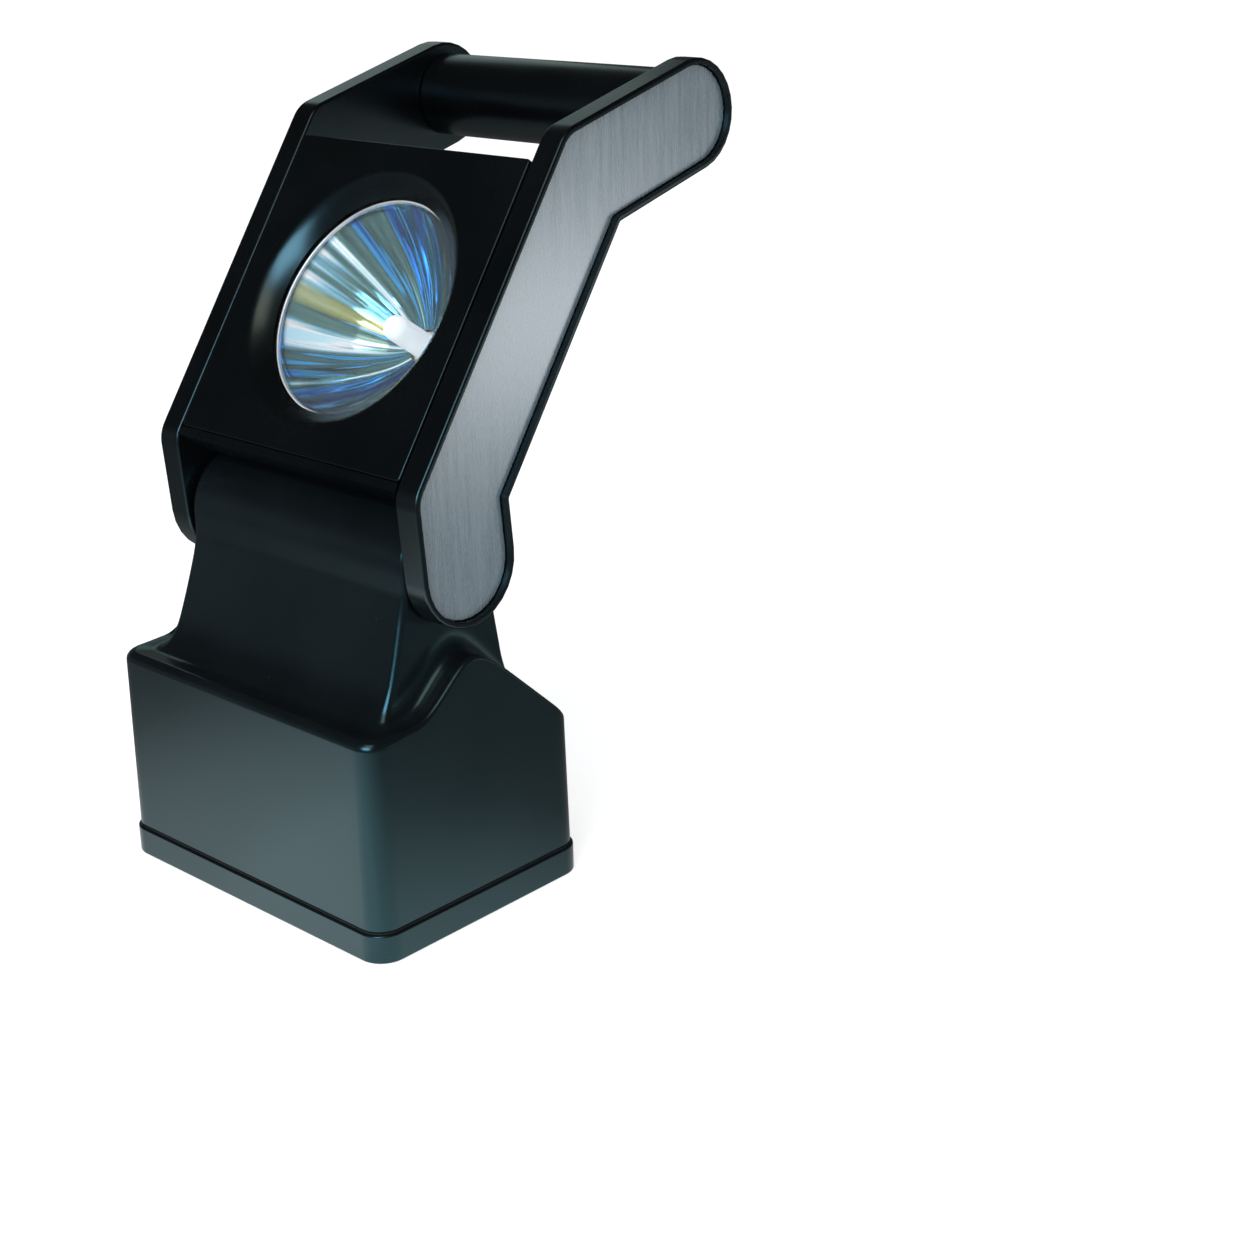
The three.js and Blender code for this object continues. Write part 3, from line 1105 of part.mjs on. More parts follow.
function pushSwitch() {
  const place = (geometry) => geometry.translate(0, 0, buttonAlong);
  const buttonTop = HEAD_REAR + BUTTON_PROUD;
  const buttonFoot = buttonTop - BUTTON_HEIGHT;
  const hollow = SPRING_RADIUS + 2 * SPRING_WIRE + CLEARANCE;
  const crown = arcPoints(BUTTON_RADIUS - BUTTON_EDGE, buttonTop - BUTTON_EDGE, BUTTON_EDGE, 0, Math.PI / 2);
  const button = [
    [0, buttonFoot + BUTTON_HOLLOW],
    [hollow, buttonFoot + BUTTON_HOLLOW],
    [hollow, buttonFoot],
    [BUTTON_RADIUS, buttonFoot],
    ...crown.map((p) => [p.x, p.y]),
    [0, buttonTop],
  ];
  const bodyRear = housingRear;
  const bodyFront = bodyRear - SWITCH_BODY_DEPTH;
  const wellFloor = bodyFront + SWITCH_FLOOR;
  const half = SWITCH_BODY_SIDE / 2;
  const body = cut(
    box(-half, half, bodyFront, bodyRear, -half, half),
    turnedY(rod(hollow, wellFloor, bodyRear + OVERRUN)),
    turnedY(rod(BUTTON_RADIUS + CLEARANCE, buttonFoot - BUTTON_TRAVEL - CLEARANCE, bodyRear + OVERRUN)),
  );
  const springFoot = wellFloor + CLEARANCE + SPRING_WIRE;
  const springTop = buttonFoot + BUTTON_HOLLOW - BUTTON_TRAVEL - CLEARANCE - SPRING_WIRE;
  const spring = Array.from({ length: SPRING_TURNS * SPRING_STEPS + 1 }, (_, i) => {
    const angle = (2 * Math.PI * i) / SPRING_STEPS;
    const along = springFoot + ((springTop - springFoot) * i) / (SPRING_TURNS * SPRING_STEPS);
    return new THREE.Vector3(SPRING_RADIUS * Math.cos(angle), along, SPRING_RADIUS * Math.sin(angle));
  });
  const ring = tube(BUTTON_RADIUS + CLEARANCE, BUTTON_RADIUS + SWITCH_RING_WIDTH, HEAD_REAR + CLEARANCE,
    HEAD_REAR + CLEARANCE + SWITCH_RING_HEIGHT);
  const coil = strand(spring, SPRING_WIRE, SPRING_SIDES, SPRING_TURNS * SPRING_STEPS);
  return [
    piece("switch_body", place(body), blackMoulding),
    piece("switch_spring", place(coil), steel),
    piece("switch_ring", place(turnedY(ring)), steel),
    piece("switch_button", place(turnedY(button)), blackRubber),
  ];
}

// Driver board under the housing's top wall, and the lead from the pivot to the bulb
function headElectrics() {
  const boardTop = HEAD_TOP - HOUSING_WALL - CLEARANCE;
  const boardFront = housingFront + OVERRUN;
  const board = box(-DRIVER_WIDTH / 2, DRIVER_WIDTH / 2, boardFront, boardFront + DRIVER_DEPTH,
    boardTop - BOARD_THICKNESS, boardTop);
  const holderMiddle = (holderFront + holderRear) / 2;
  const capHole = CAP_RADIUS - CAP_WALL;
  const route = [
    [-AXLE_RADIUS, underside],
    [-AXLE_RADIUS, underside + 2 * HOUSING_WALL],
    [housingRear - 2 * LEAD_RADIUS, LENS_ALONG - CAP_RADIUS - LEAD_RADIUS],
    [HEAD_REAR - COVER_THICKNESS, LENS_ALONG - capHole + LEAD_RADIUS + 3 * CLEARANCE],
    [HEAD_REAR, LENS_ALONG - capHole + LEAD_RADIUS + 4 * CLEARANCE],
    [(HEAD_REAR + holderMiddle) / 2, LENS_ALONG - (capHole + HOLDER_RADIUS) / 2],
    [holderMiddle, LENS_ALONG - HOLDER_RADIUS - 2 * CLEARANCE],
  ].map(([y, z]) => new THREE.Vector3(0, y, z));
  return [
    piece("driver_board", board, greenBoard),
    piece("head_lead", strand(route, LEAD_RADIUS, LEAD_SIDES, LEAD_STEPS), greyLead),
  ];
}

// Assembly
const spotlight = new THREE.Group();
spotlight.add(
  baseCasing(),
  basePlate(),
  baseSeal(),
  ...baseScrews(),
  ...chargingGear(),
  ...battery(),
  ...pivotGear(),
  neckLead(),
);

const head = new THREE.Group();
head.position.set(0, PIVOT_Y, PIVOT_HEIGHT);
head.rotation.x = -HEAD_LEAN;
head.add(
  ...sideGear(-1, "left"),
  ...sideGear(1, "right"),
  ...handle(),
  headHousing(),
  frontPanel(),
  rearCover(),
  ...rearScrews(),
  rearCap(),
  ...optics(),
  ...pushSwitch(),
  ...headElectrics(),
);
spotlight.add(head);

export default spotlight;
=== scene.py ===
"""Looks of a handheld spotlight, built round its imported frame.

Shapes are written in millimetres and scaled to metres when they become objects. Pieces of the
head are drawn upright, in the head's own frame, and then leaned back round the pivot.
"""

import json
import logging
import math
from dataclasses import dataclass, field
from enum import Enum
from typing import Callable, Iterable, Sequence

import bmesh
import bpy
from mathutils import Matrix, Vector


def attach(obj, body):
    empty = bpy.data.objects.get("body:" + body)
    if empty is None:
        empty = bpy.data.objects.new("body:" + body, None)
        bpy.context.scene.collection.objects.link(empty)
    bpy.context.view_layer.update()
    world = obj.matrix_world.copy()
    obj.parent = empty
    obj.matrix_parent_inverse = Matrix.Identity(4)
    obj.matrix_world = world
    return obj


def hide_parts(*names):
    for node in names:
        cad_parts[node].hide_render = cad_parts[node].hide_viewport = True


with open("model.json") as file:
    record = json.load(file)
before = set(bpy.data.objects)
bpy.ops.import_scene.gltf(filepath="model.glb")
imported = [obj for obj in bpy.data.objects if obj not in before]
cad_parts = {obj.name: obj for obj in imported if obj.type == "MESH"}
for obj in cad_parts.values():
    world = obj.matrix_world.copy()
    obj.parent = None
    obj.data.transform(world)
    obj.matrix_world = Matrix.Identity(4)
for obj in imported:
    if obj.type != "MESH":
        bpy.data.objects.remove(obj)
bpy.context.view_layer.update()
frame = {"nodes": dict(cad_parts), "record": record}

log = logging.getLogger("spotlight")

Point2 = tuple[float, float]
Corner = tuple[float, float, float]
Colour = tuple[float, float, float]
Stops = Sequence[tuple[float, Sequence[float]]]
Ring = list[Vector]
Thing = bpy.types.Object
Socket = bpy.types.NodeSocket

MM = 0.001
QUADRANTS = ((1, -1), (1, 1), (-1, 1), (-1, -1))
BLACK: Colour = (0.0, 0.0, 0.0)
WHITE: Colour = (1.0, 1.0, 1.0)


class Body(Enum):
    """Rigid groups that the pieces move with."""

    BASE = "base"
    HEAD = "head"
    BUTTON = "button"


class Side(Enum):
    """The lamp's two sides, by the sign of x."""

    LEFT = -1
    RIGHT = 1

    @property
    def word(self) -> str:
        """The side's word in the nodes' names."""
        return self.name.lower()


class Join(Enum):
    """Ways to combine one solid with another."""

    ADD = "UNION"
    CUT = "DIFFERENCE"
    OVERLAP = "INTERSECT"


class Ray(Enum):
    """Kinds of ray that ask for a colour: the camera's, off metal and through glass."""

    CAMERA = "Is Camera Ray"
    GLOSSY = "Is Glossy Ray"
    GLASS = "Is Transmission Ray"


class Axis(Enum):
    """Axis that a piece is turned about or pushed along."""

    X = 0
    Y = 1
    Z = 2

    def turned(self, radial: float, across: float, along: float) -> Vector:
        """Puts a turned point on this axis, from its places across and along it."""
        cycle = (along, radial, across)
        return Vector(cycle[3 - self.value :] + cycle[: 3 - self.value])

    def flat(self, point: Point2, along: float) -> Vector:
        """Puts a point of an outline, given in the two other axes, at a place on this axis."""
        return Vector((*point[: self.value], along, *point[self.value :]))


# Outlines and profiles


def arc(centre: Point2, radius: float, start: float, end: float, steps: int) -> list[Point2]:
    """Points along an arc in so many steps, between two angles in radians, ends included."""
    angles = [start + (end - start) * i / steps for i in range(steps + 1)]
    return [(centre[0] + radius * math.cos(a), centre[1] + radius * math.sin(a)) for a in angles]


def quarter(radius: float, steps: int) -> list[Point2]:
    """Distances from the two sides of a corner, for each step round its rounding."""
    angles = [math.pi / 2 * i / steps for i in range(steps + 1)]
    return [(radius * (1 - math.sin(a)), radius * (1 - math.cos(a))) for a in angles]


def clamp(share: float) -> float:
    """Keeps a share between 0 and 1."""
    return min(1.0, max(0.0, share))


def ease(share: float) -> float:
    """Turns a share into one that starts and ends softly."""
    share = clamp(share)
    return share * share * (3 - 2 * share)


def belt(circles: Sequence[tuple[float, float, float]], steps: int) -> list[Point2]:
    """Outline of a belt round circles, anticlockwise.

    Args:
        circles: centre and radius of each circle in order. A negative radius bends the belt
            round that circle from outside.
        steps: chords of each arc.

    Returns:
        The outline's points.
    """
    count = len(circles)
    leaving = []
    for i, (x, y, radius) in enumerate(circles):
        next_x, next_y, next_radius = circles[(i + 1) % count]
        spacing = math.hypot(next_x - x, next_y - y)
        heading = math.atan2(next_y - y, next_x - x)
        leaving.append(heading - math.asin((next_radius - radius) / spacing))
    points: list[Point2] = []
    for i, (x, y, radius) in enumerate(circles):
        turn = (leaving[i] - leaving[i - 1]) % (2 * math.pi)
        if radius < 0:
            turn -= 2 * math.pi
        start = leaving[i - 1] - math.pi / 2
        points += arc((x, y), radius, start, start + turn, steps)
    return points


def rounded_rectangle(
    half_x: float,
    half_y: float,
    corner: float,
    centre: Point2 = (0.0, 0.0),
    steps: int = 8,
    between_x: int = 1,
    between_y: int = 1,
) -> list[Point2]:
    """Outline of a rectangle with round corners, starting at its right-hand side.

    Args:
        half_x: half its width.
        half_y: half its depth.
        corner: corner radius.
        centre: its middle.
        steps: chords of each corner.
        between_x: stretches along each side that runs in x.
        between_y: stretches along each side that runs in y.

    Returns:
        The outline's points, anticlockwise.
    """
    inner_x, inner_y = half_x - corner, half_y - corner
    circles = [(centre[0] + sx * inner_x, centre[1] + sy * inner_y, corner) for sx, sy in QUADRANTS]
    outline = belt(circles, steps)
    per_corner = steps + 1
    points: list[Point2] = []
    for i, (x, y) in enumerate(outline):
        points.append((x, y))
        if (i + 1) % per_corner:
            continue
        next_x, next_y = outline[(i + 1) % len(outline)]
        stretches = between_x if (i // per_corner) % 2 else between_y
        for k in range(1, stretches):
            share = k / stretches
            points.append((x + (next_x - x) * share, y + (next_y - y) * share))
    return points


def rounded_profile(corners: Sequence[Corner], steps: int) -> list[Point2]:
    """Rounds the corners of an open profile.

    Args:
        corners: radius from the axis, place along it and rounding of each corner. The
            first and last keep their places.
        steps: chords of each rounding.

    Returns:
        The profile's points.
    """
    points: list[Point2] = [corners[0][:2]]
    for before, here, after in zip(corners, corners[1:], corners[2:]):
        if not here[2]:
            points.append(here[:2])
            continue
        corner = Vector(here[:2])
        back = (Vector(before[:2]) - corner).normalized() * here[2]
        ahead = (Vector(after[:2]) - corner).normalized() * here[2]
        for i in range(steps + 1):
            share = i / steps
            points.append(tuple(corner + back * (1 - share) ** 2 + ahead * share**2))
    points.append(corners[-1][:2])
    return points


# Meshes


def link(name: str, data: bpy.types.ID) -> Thing:
    """Makes an object and links it to the scene.

    Args:
        name: the object's name.
        data: its mesh, camera or lamp.

    Returns:
        The object.
    """
    thing = bpy.data.objects.new(name, data)
    bpy.context.scene.collection.objects.link(thing)
    return thing


class Solid:
    """A closed mesh under construction, in millimetres."""

    def __init__(self) -> None:
        """Starts an empty mesh."""
        self.bm = bmesh.new()

    def loft(self, rings: Sequence[Ring], closed: bool = False, top: bool = True) -> "Solid":
        """Stretches a surface over rings of equal length.

        Args:
            rings: the rings, in order along the surface.
            closed: joins the last ring to the first, in place of two end faces.
            top: closes the last ring with a face.

        Returns:
            This solid.
        """
        levels = [[self.bm.verts.new(p) for p in ring] for ring in rings]
        pairs = list(zip(levels, levels[1:]))
        if closed:
            pairs.append((levels[-1], levels[0]))
        for low, high in pairs:
            for i in range(len(low)):
                j = (i + 1) % len(low)
                self.bm.faces.new((low[i], low[j], high[j], high[i]))
        if not closed:
            self.bm.faces.new(list(reversed(levels[0])))
            if top:
                self.bm.faces.new(levels[-1])
        return self

    def turned(self, profile: Sequence[Point2], axis: Axis, segments: int) -> "Solid":
        """Turns a profile about an axis.

        Args:
            profile: radius and place along the axis. It starts and ends on the axis, or
                else closes on itself.
            axis: the axis.
            segments: how many segments a turn has.

        Returns:
            This solid.
        """
        turn = [2 * math.pi * i / segments for i in range(segments)]
        rings = []
        for radius, along in profile:
            angles = turn if radius >= 1e-6 else turn[:1]
            points = [(radius * math.cos(a), radius * math.sin(a)) for a in angles]
            rings.append([self.bm.verts.new(axis.turned(*point, along)) for point in points])
        pairs = list(zip(rings, rings[1:]))
        if len(rings[0]) > 1:
            pairs.append((rings[-1], rings[0]))
        for low, high in pairs:
            for i in range(segments):
                j = (i + 1) % segments
                corners = [(low, i), (low, j), (high, j), (high, i)]
                unique = list(dict.fromkeys(ring[k % len(ring)] for ring, k in corners))
                if len(unique) > 2:
                    self.bm.faces.new(unique)
        return self

    def moved(self, matrix: Matrix) -> "Solid":
        """Moves what is built so far by a transform in millimetres, and returns this solid."""
        bmesh.ops.transform(self.bm, matrix=matrix, verts=self.bm.verts)
        return self

    def shifted(self, x: float = 0.0, y: float = 0.0, z: float = 0.0) -> "Solid":
        """Slides what is built so far along x, y and z, and returns this solid."""
        return self.moved(Matrix.Translation((x, y, z)))

    def to_object(self, name: str, merge: float = 1e-4) -> Thing:
        """Turns the mesh into an object in metres.

        Args:
            name: the object's name.
            merge: vertices nearer than this, in millimetres, become one.

        Returns:
            The object, linked to the scene.
        """
        bmesh.ops.remove_doubles(self.bm, verts=self.bm.verts, dist=merge)
        bmesh.ops.recalc_face_normals(self.bm, faces=self.bm.faces)
        bmesh.ops.scale(self.bm, vec=(MM, MM, MM), verts=self.bm.verts)
        mesh = bpy.data.meshes.new(name)
        self.bm.to_mesh(mesh)
        self.bm.free()
        return link(name, mesh)


def flat_ring(outline: Sequence[Point2], axis: Axis, place: float) -> Ring:
    """Stands an outline, given in the two other axes, across an axis."""
    return [axis.flat(point, place) for point in outline]


def prism(outline: Sequence[Point2], axis: Axis, low: float, high: float) -> Solid:
    """Pushes an outline, given in the two other axes, along an axis from low to high."""
    return Solid().loft([flat_ring(outline, axis, low), flat_ring(outline, axis, high)])


def slab_rings(
    outline: Callable[[float], list[Point2]],
    axis: Axis,
    low: float,
    high: float,
    edge: float,
    steps: int,
) -> list[Ring]:
    """Rings of a slab whose two edges are rounded.

    Args:
        outline: gives the outline drawn in by a distance.
        axis: the axis across the slab.
        low: its first face.
        high: its second face.
        edge: rounding of both edges.
        steps: chords of each rounding.

    Returns:
        The rings from the first face to the second.
    """
    bends = quarter(edge, steps)
    rings = [flat_ring(outline(inset), axis, low + rise) for inset, rise in bends]
    return rings + [flat_ring(outline(inset), axis, high - fall) for fall, inset in bends]


def lathe(corners: Sequence[Corner], axis: Axis, segments: int, steps: int) -> Solid:
    """Turns a profile with rounded corners, each rounding in so many steps."""
    return Solid().turned(rounded_profile(corners, steps), axis, segments)


def peg(axis: Axis, segments: int, start: float, *steps: Point2) -> Solid:
    """Builds a round peg, plain or in steps.

    Args:
        axis: the axis that it lies on.
        segments: segments of a turn.
        start: place of its first end.
        steps: radius of each step, and the place where it ends.

    Returns:
        The solid.
    """
    profile = [(0.0, start)]
    for radius, end in steps:
        profile += [(radius, profile[-1][1]), (radius, end)]
    profile.append((0.0, profile[-1][1]))
    return Solid().turned(profile, axis, segments)


def upright_pegs(
    places: Iterable[Point2], segments: int, start: float, *steps: Point2
) -> list[Thing]:
    """Upright pegs at places in x and y, to be combined with a piece."""
    return [
        peg(Axis.Z, segments, start, *steps).shifted(x, y).to_object("peg") for x, y in places
    ]


def apply_modifiers(thing: Thing) -> None:
    """Turns an object's modifiers into mesh.

    Args:
        thing: the object.
    """
    graph = bpy.context.evaluated_depsgraph_get()
    mesh = bpy.data.meshes.new_from_object(thing.evaluated_get(graph))
    thing.modifiers.clear()
    thing.data = mesh


def combine(thing: Thing, others: Iterable[Thing], join: Join) -> Thing:
    """Combines a solid with others, one by one.

    Args:
        thing: the solid that stays.
        others: the solids that are used up.
        join: how they are combined.

    Returns:
        The solid that stays.
    """
    for other in others:
        step = thing.modifiers.new("combine", "BOOLEAN")
        step.operation = join.value
        step.solver = "EXACT"
        step.object = other
        apply_modifiers(thing)
        bpy.data.objects.remove(other)
    return thing


def soften(thing: Thing, width: float, segments: int, angle: float) -> None:
    """Rounds the sharp edges of an object.

    Args:
        thing: the object.
        width: width of the rounding, in millimetres.
        segments: chords of the rounding.
        angle: edges that turn more than this many degrees are rounded.
    """
    bevel = thing.modifiers.new("edges", "BEVEL")
    bevel.width = width * MM
    bevel.segments = segments
    bevel.limit_method = "ANGLE"
    bevel.angle_limit = math.radians(angle)
    bevel.use_clamp_overlap = True
    bevel.harden_normals = False
    apply_modifiers(thing)


def shade(thing: Thing, angle: float) -> None:
    """Shades an object smoothly, apart from edges that turn more than an angle in degrees."""
    thing.data.shade_smooth()
    thing.data.set_sharp_from_angle(angle=math.radians(angle))


# Finishes


class Graph:
    """A node graph, with short ways to add what the finishes use."""

    def __init__(
        self, owner: bpy.types.Material | bpy.types.World, shader: str = "Principled BSDF"
    ) -> None:
        """Takes up a graph.

        Args:
            owner: the new material or world.
            shader: name of its shader's node.
        """
        owner.use_nodes = True
        self.owner = owner
        self.nodes = owner.node_tree.nodes
        self.links = owner.node_tree.links
        self.shader = self.nodes[shader]

    def fill(self, socket: Socket, value: object) -> None:
        """Sets an input to a constant, or feeds it from another socket.

        Args:
            socket: the input.
            value: the constant or the socket.
        """
        if isinstance(value, Socket):
            self.links.new(value, socket)
        else:
            socket.default_value = value

    def feed(self, **values: object) -> None:
        """Fills the shader's own inputs, named with underscores for spaces."""
        for name, value in values.items():
            self.fill(self.shader.inputs[name.replace("_", " ")], value)

    def add(
        self, kind: str, output: str, inputs: dict[str | int, object], **settings: str
    ) -> Socket:
        """Adds a node.

        Args:
            kind: its type, without the prefix.
            output: name of the output that is used.
            inputs: constant or socket for each input that is filled.
            settings: choices on the node itself.

        Returns:
            The output's socket.
        """
        node = self.nodes.new(f"ShaderNode{kind}")
        for name, choice in settings.items():
            setattr(node, name, choice)
        for name, value in inputs.items():
            self.fill(node.inputs[name], value)
        return node.outputs[output]

    def place(self, scale: Sequence[float] = (1.0, 1.0, 1.0)) -> Socket:
        """The object's own coordinates, stretched along x, y and z."""
        source = self.add("TexCoord", "Object", {})
        return self.add("Mapping", "Vector", {"Vector": source, "Scale": scale})

    def noise(
        self, where: Socket, scale: float, detail: float = 2.0, rough: float = 0.5
    ) -> Socket:
        """Noise from 0 to 1.

        Args:
            where: coordinates.
            scale: waves in a metre.
            detail: finer layers.
            rough: share of the finer layers.

        Returns:
            The noise's socket.
        """
        inputs = {"Vector": where, "Scale": scale, "Detail": detail, "Roughness": rough}
        return self.add("TexNoise", "Fac", inputs)

    def ramp(self, value: Socket, stops: Stops) -> Socket:
        """Colours along a value.

        Args:
            value: the value's socket.
            stops: place and colour of each stop.

        Returns:
            The colour's socket.
        """
        colour = self.add("ValToRGB", "Color", {"Fac": value})
        elements = colour.node.color_ramp.elements
        while len(elements) < len(stops):
            elements.new(0.5)
        for element, (place, part) in zip(elements, stops):
            element.position = place
            element.color = (*part, 1.0)
        return colour

    def tones(self, value: Socket, dark: Colour, light: Colour) -> Socket:
        """Runs from one colour to another over the middle of a value's range."""
        return self.ramp(value, [(0.3, dark), (0.7, light)])

    def spread(
        self, value: Socket, low: float, high: float, start: float = 0.3, end: float = 0.7
    ) -> Socket:
        """Maps a value to a new range.

        Args:
            value: the value's socket.
            low: result at the start.
            high: result at the end.
            start: value that gives low.
            end: value that gives high.

        Returns:
            The result's socket.
        """
        inputs = {"Value": value, "From Min": start, "From Max": end, "To Min": low, "To Max": high}
        return self.add("MapRange", "Result", inputs)

    def math(self, operation: str, *values: object) -> Socket:
        """One arithmetic step on sockets or numbers."""
        return self.add("Math", "Value", dict(enumerate(values)), operation=operation)

    def blend(self, *terms: tuple[Socket, float]) -> Socket:
        """Adds two values, each times its factor."""
        return self.math("ADD", *(self.math("MULTIPLY", *term) for term in terms))

    def mix(self, factor: object, below: object, above: object, way: str = "MIX") -> Socket:
        """Lays one colour over another.

        Args:
            factor: 1 where the upper colour is seen.
            below: lower colour, or its socket.
            above: upper colour, or its socket.
            way: the node's way to blend them.

        Returns:
            The colour's socket.
        """
        ends = [end if isinstance(end, Socket) else (*end, 1.0) for end in (below, above)]
        inputs = {"Factor": factor, "A": ends[0], "B": ends[1]}
        return self.add("Mix", "Result", inputs, data_type="RGBA", blend_type=way)

    def ray(self, kind: Ray) -> Socket:
        """A value that is 1 for one kind of ray."""
        return self.add("LightPath", kind.value, {})

    def by_ray(self, rest: object, glossy: object, glass: object, camera: object) -> Socket:
        """A colour that differs by the kind of ray.

        Args:
            rest: colour for every other ray, or its socket.
            glossy: colour for rays off metal.
            glass: colour for rays through glass.
            camera: colour for the camera's rays.

        Returns:
            The colour's socket.
        """
        colour = self.mix(self.ray(Ray.GLOSSY), rest, glossy)
        colour = self.mix(self.ray(Ray.GLASS), colour, glass)
        return self.mix(self.ray(Ray.CAMERA), colour, camera)

    def bump(self, height: Socket, depth: float) -> Socket:
        """Raises the surface's shading by up to a depth in millimetres."""
        inputs = {"Height": height, "Distance": depth * MM, "Strength": 1.0}
        return self.add("Bump", "Normal", inputs)


@dataclass(frozen=True)
class Finish:
    """A named material, made from a node graph."""

    name: str

    def dress(self, g: Graph) -> None:
        """Fills the graph of the finish.

        Args:
            g: the material's graph.
        """
        raise NotImplementedError

    def build(self) -> bpy.types.Material:
        """Makes the material."""
        g = Graph(bpy.data.materials.new(self.name))
        self.dress(g)
        return g.owner


@dataclass(frozen=True)
class SatinBlack(Finish):
    """Black moulded or coated surface with a fine grain, soft patches and a little dust."""

    dark: Colour = (0.0035, 0.0040, 0.0045)
    light: Colour = (0.0060, 0.0072, 0.0080)
    rough_low: float = 0.20
    rough_high: float = 0.26
    grain: float = 2600.0
    grain_depth: float = 0.012
    tint: Colour = (0.37, 0.88, 1.0)
    patches: float = 28.0
    dust: float = 0.06
    dust_colour: Colour = (0.6, 0.6, 0.58)
    specks: float = 160.0
    speck_sizes: Point2 = (0.025, 0.05)
    speck_patches: float = 40.0
    speck_edges: Point2 = (0.56, 0.62)

    def dress(self, g: Graph) -> None:
        """Fills the graph of the finish.

        Args:
            g: the material's graph.
        """
        where = g.place()
        patches = g.noise(where, self.patches, 3.0)
        specks = g.add("TexVoronoi", "Distance", {"Vector": where, "Scale": self.specks})
        speck = g.spread(specks, 1.0, 0.0, *self.speck_sizes)
        chance = g.spread(g.noise(where, self.speck_patches, 1.0), 0.0, 1.0, *self.speck_edges)
        dusty = g.math("MULTIPLY", g.math("MULTIPLY", speck, chance), self.dust)
        g.feed(
            Base_Color=g.mix(dusty, g.tones(patches, self.dark, self.light), self.dust_colour),
            Roughness=g.spread(patches, self.rough_low, self.rough_high),
            Normal=g.bump(g.noise(where, self.grain), self.grain_depth),
            IOR=1.68,
            Specular_Tint=(*self.tint, 1.0),
        )


@dataclass(frozen=True)
class BrushedAluminium(Finish):
    """Aluminium sheet brushed along the lamp's height."""

    dark: Colour = (0.40, 0.51, 0.57)
    light: Colour = (0.53, 0.64, 0.70)
    rough_low: float = 0.24
    rough_high: float = 0.31
    across: float = 2200.0
    along: float = 70.0
    depth: float = 0.006

    def dress(self, g: Graph) -> None:
        """Fills the graph of the finish.

        Args:
            g: the material's graph.
        """
        fine = g.noise(g.place((self.across, self.across, self.along)), 1.0, 3.0, 0.6)
        broad = g.noise(g.place((self.across / 6, self.across / 6, self.along / 4)), 1.0)
        lines = g.blend((fine, 0.65), (broad, 0.35))
        g.feed(
            Base_Color=g.ramp(lines, [(0.32, self.dark), (0.66, self.light)]),
            Roughness=g.spread(lines, self.rough_low, self.rough_high),
            Normal=g.bump(lines, self.depth),
            Metallic=0.74,
        )


@dataclass(frozen=True)
class PlainMetal(Finish):
    """Turned or drawn metal with faint tool marks."""

    dark: Colour
    light: Colour
    roughness: float = 0.3

    def dress(self, g: Graph) -> None:
        """Fills the graph of the finish.

        Args:
            g: the material's graph.
        """
        where = g.place()
        marks = g.noise(where, 900.0)
        g.feed(
            Base_Color=g.tones(g.noise(where, 120.0), self.dark, self.light),
            Roughness=g.spread(marks, self.roughness - 0.06, self.roughness + 0.08),
            Normal=g.bump(marks, 0.004),
            Metallic=1.0,
        )


@dataclass(frozen=True)
class DullSurface(Finish):
    """Rubber, ceramic, sheathing or card: a dull surface with its own grain."""

    dark: Colour
    light: Colour
    roughness: float
    grain: float = 1800.0
    grain_depth: float = 0.02

    def dress(self, g: Graph) -> None:
        """Fills the graph of the finish.

        Args:
            g: the material's graph.
        """
        where = g.place()
        patches = g.noise(where, 90.0, 3.0)
        g.feed(
            Base_Color=g.tones(patches, self.dark, self.light),
            Roughness=g.spread(patches, self.roughness - 0.05, self.roughness + 0.08),
            Normal=g.bump(g.noise(where, self.grain), self.grain_depth),
        )


@dataclass(frozen=True)
class CircuitBoard(Finish):
    """Green lacquered board with paler tracks."""

    stops: Stops = (
        (0.2, (0.010, 0.06, 0.024)),
        (0.45, (0.016, 0.11, 0.045)),
        (0.7, (0.05, 0.22, 0.09)),
    )

    def dress(self, g: Graph) -> None:
        """Fills the graph of the finish.

        Args:
            g: the material's graph.
        """
        where = g.place()
        inputs = {"Vector": where, "Scale": 320.0}
        cells = g.add("TexVoronoi", "Distance", inputs, distance="MANHATTAN", feature="F1")
        g.feed(
            Base_Color=g.ramp(cells, self.stops),
            Roughness=g.spread(g.noise(where, 60.0), 0.3, 0.42),
            Normal=g.bump(cells, 0.02),
        )


@dataclass(frozen=True)
class ClearGlass(Finish):
    """Clear glass with a faint unevenness."""

    tint: Colour = (0.97, 0.985, 1.0)
    waves: float = 0.004

    def dress(self, g: Graph) -> None:
        """Fills the graph of the finish.

        Args:
            g: the material's graph.
        """
        where = g.place()
        g.feed(
            Base_Color=g.tones(g.noise(where, 30.0), self.tint, WHITE),
            Roughness=g.spread(g.noise(where, 400.0), 0.0, 0.02),
            Normal=g.bump(g.noise(where, 60.0), self.waves),
            Transmission_Weight=1.0,
            IOR=1.46,
        )


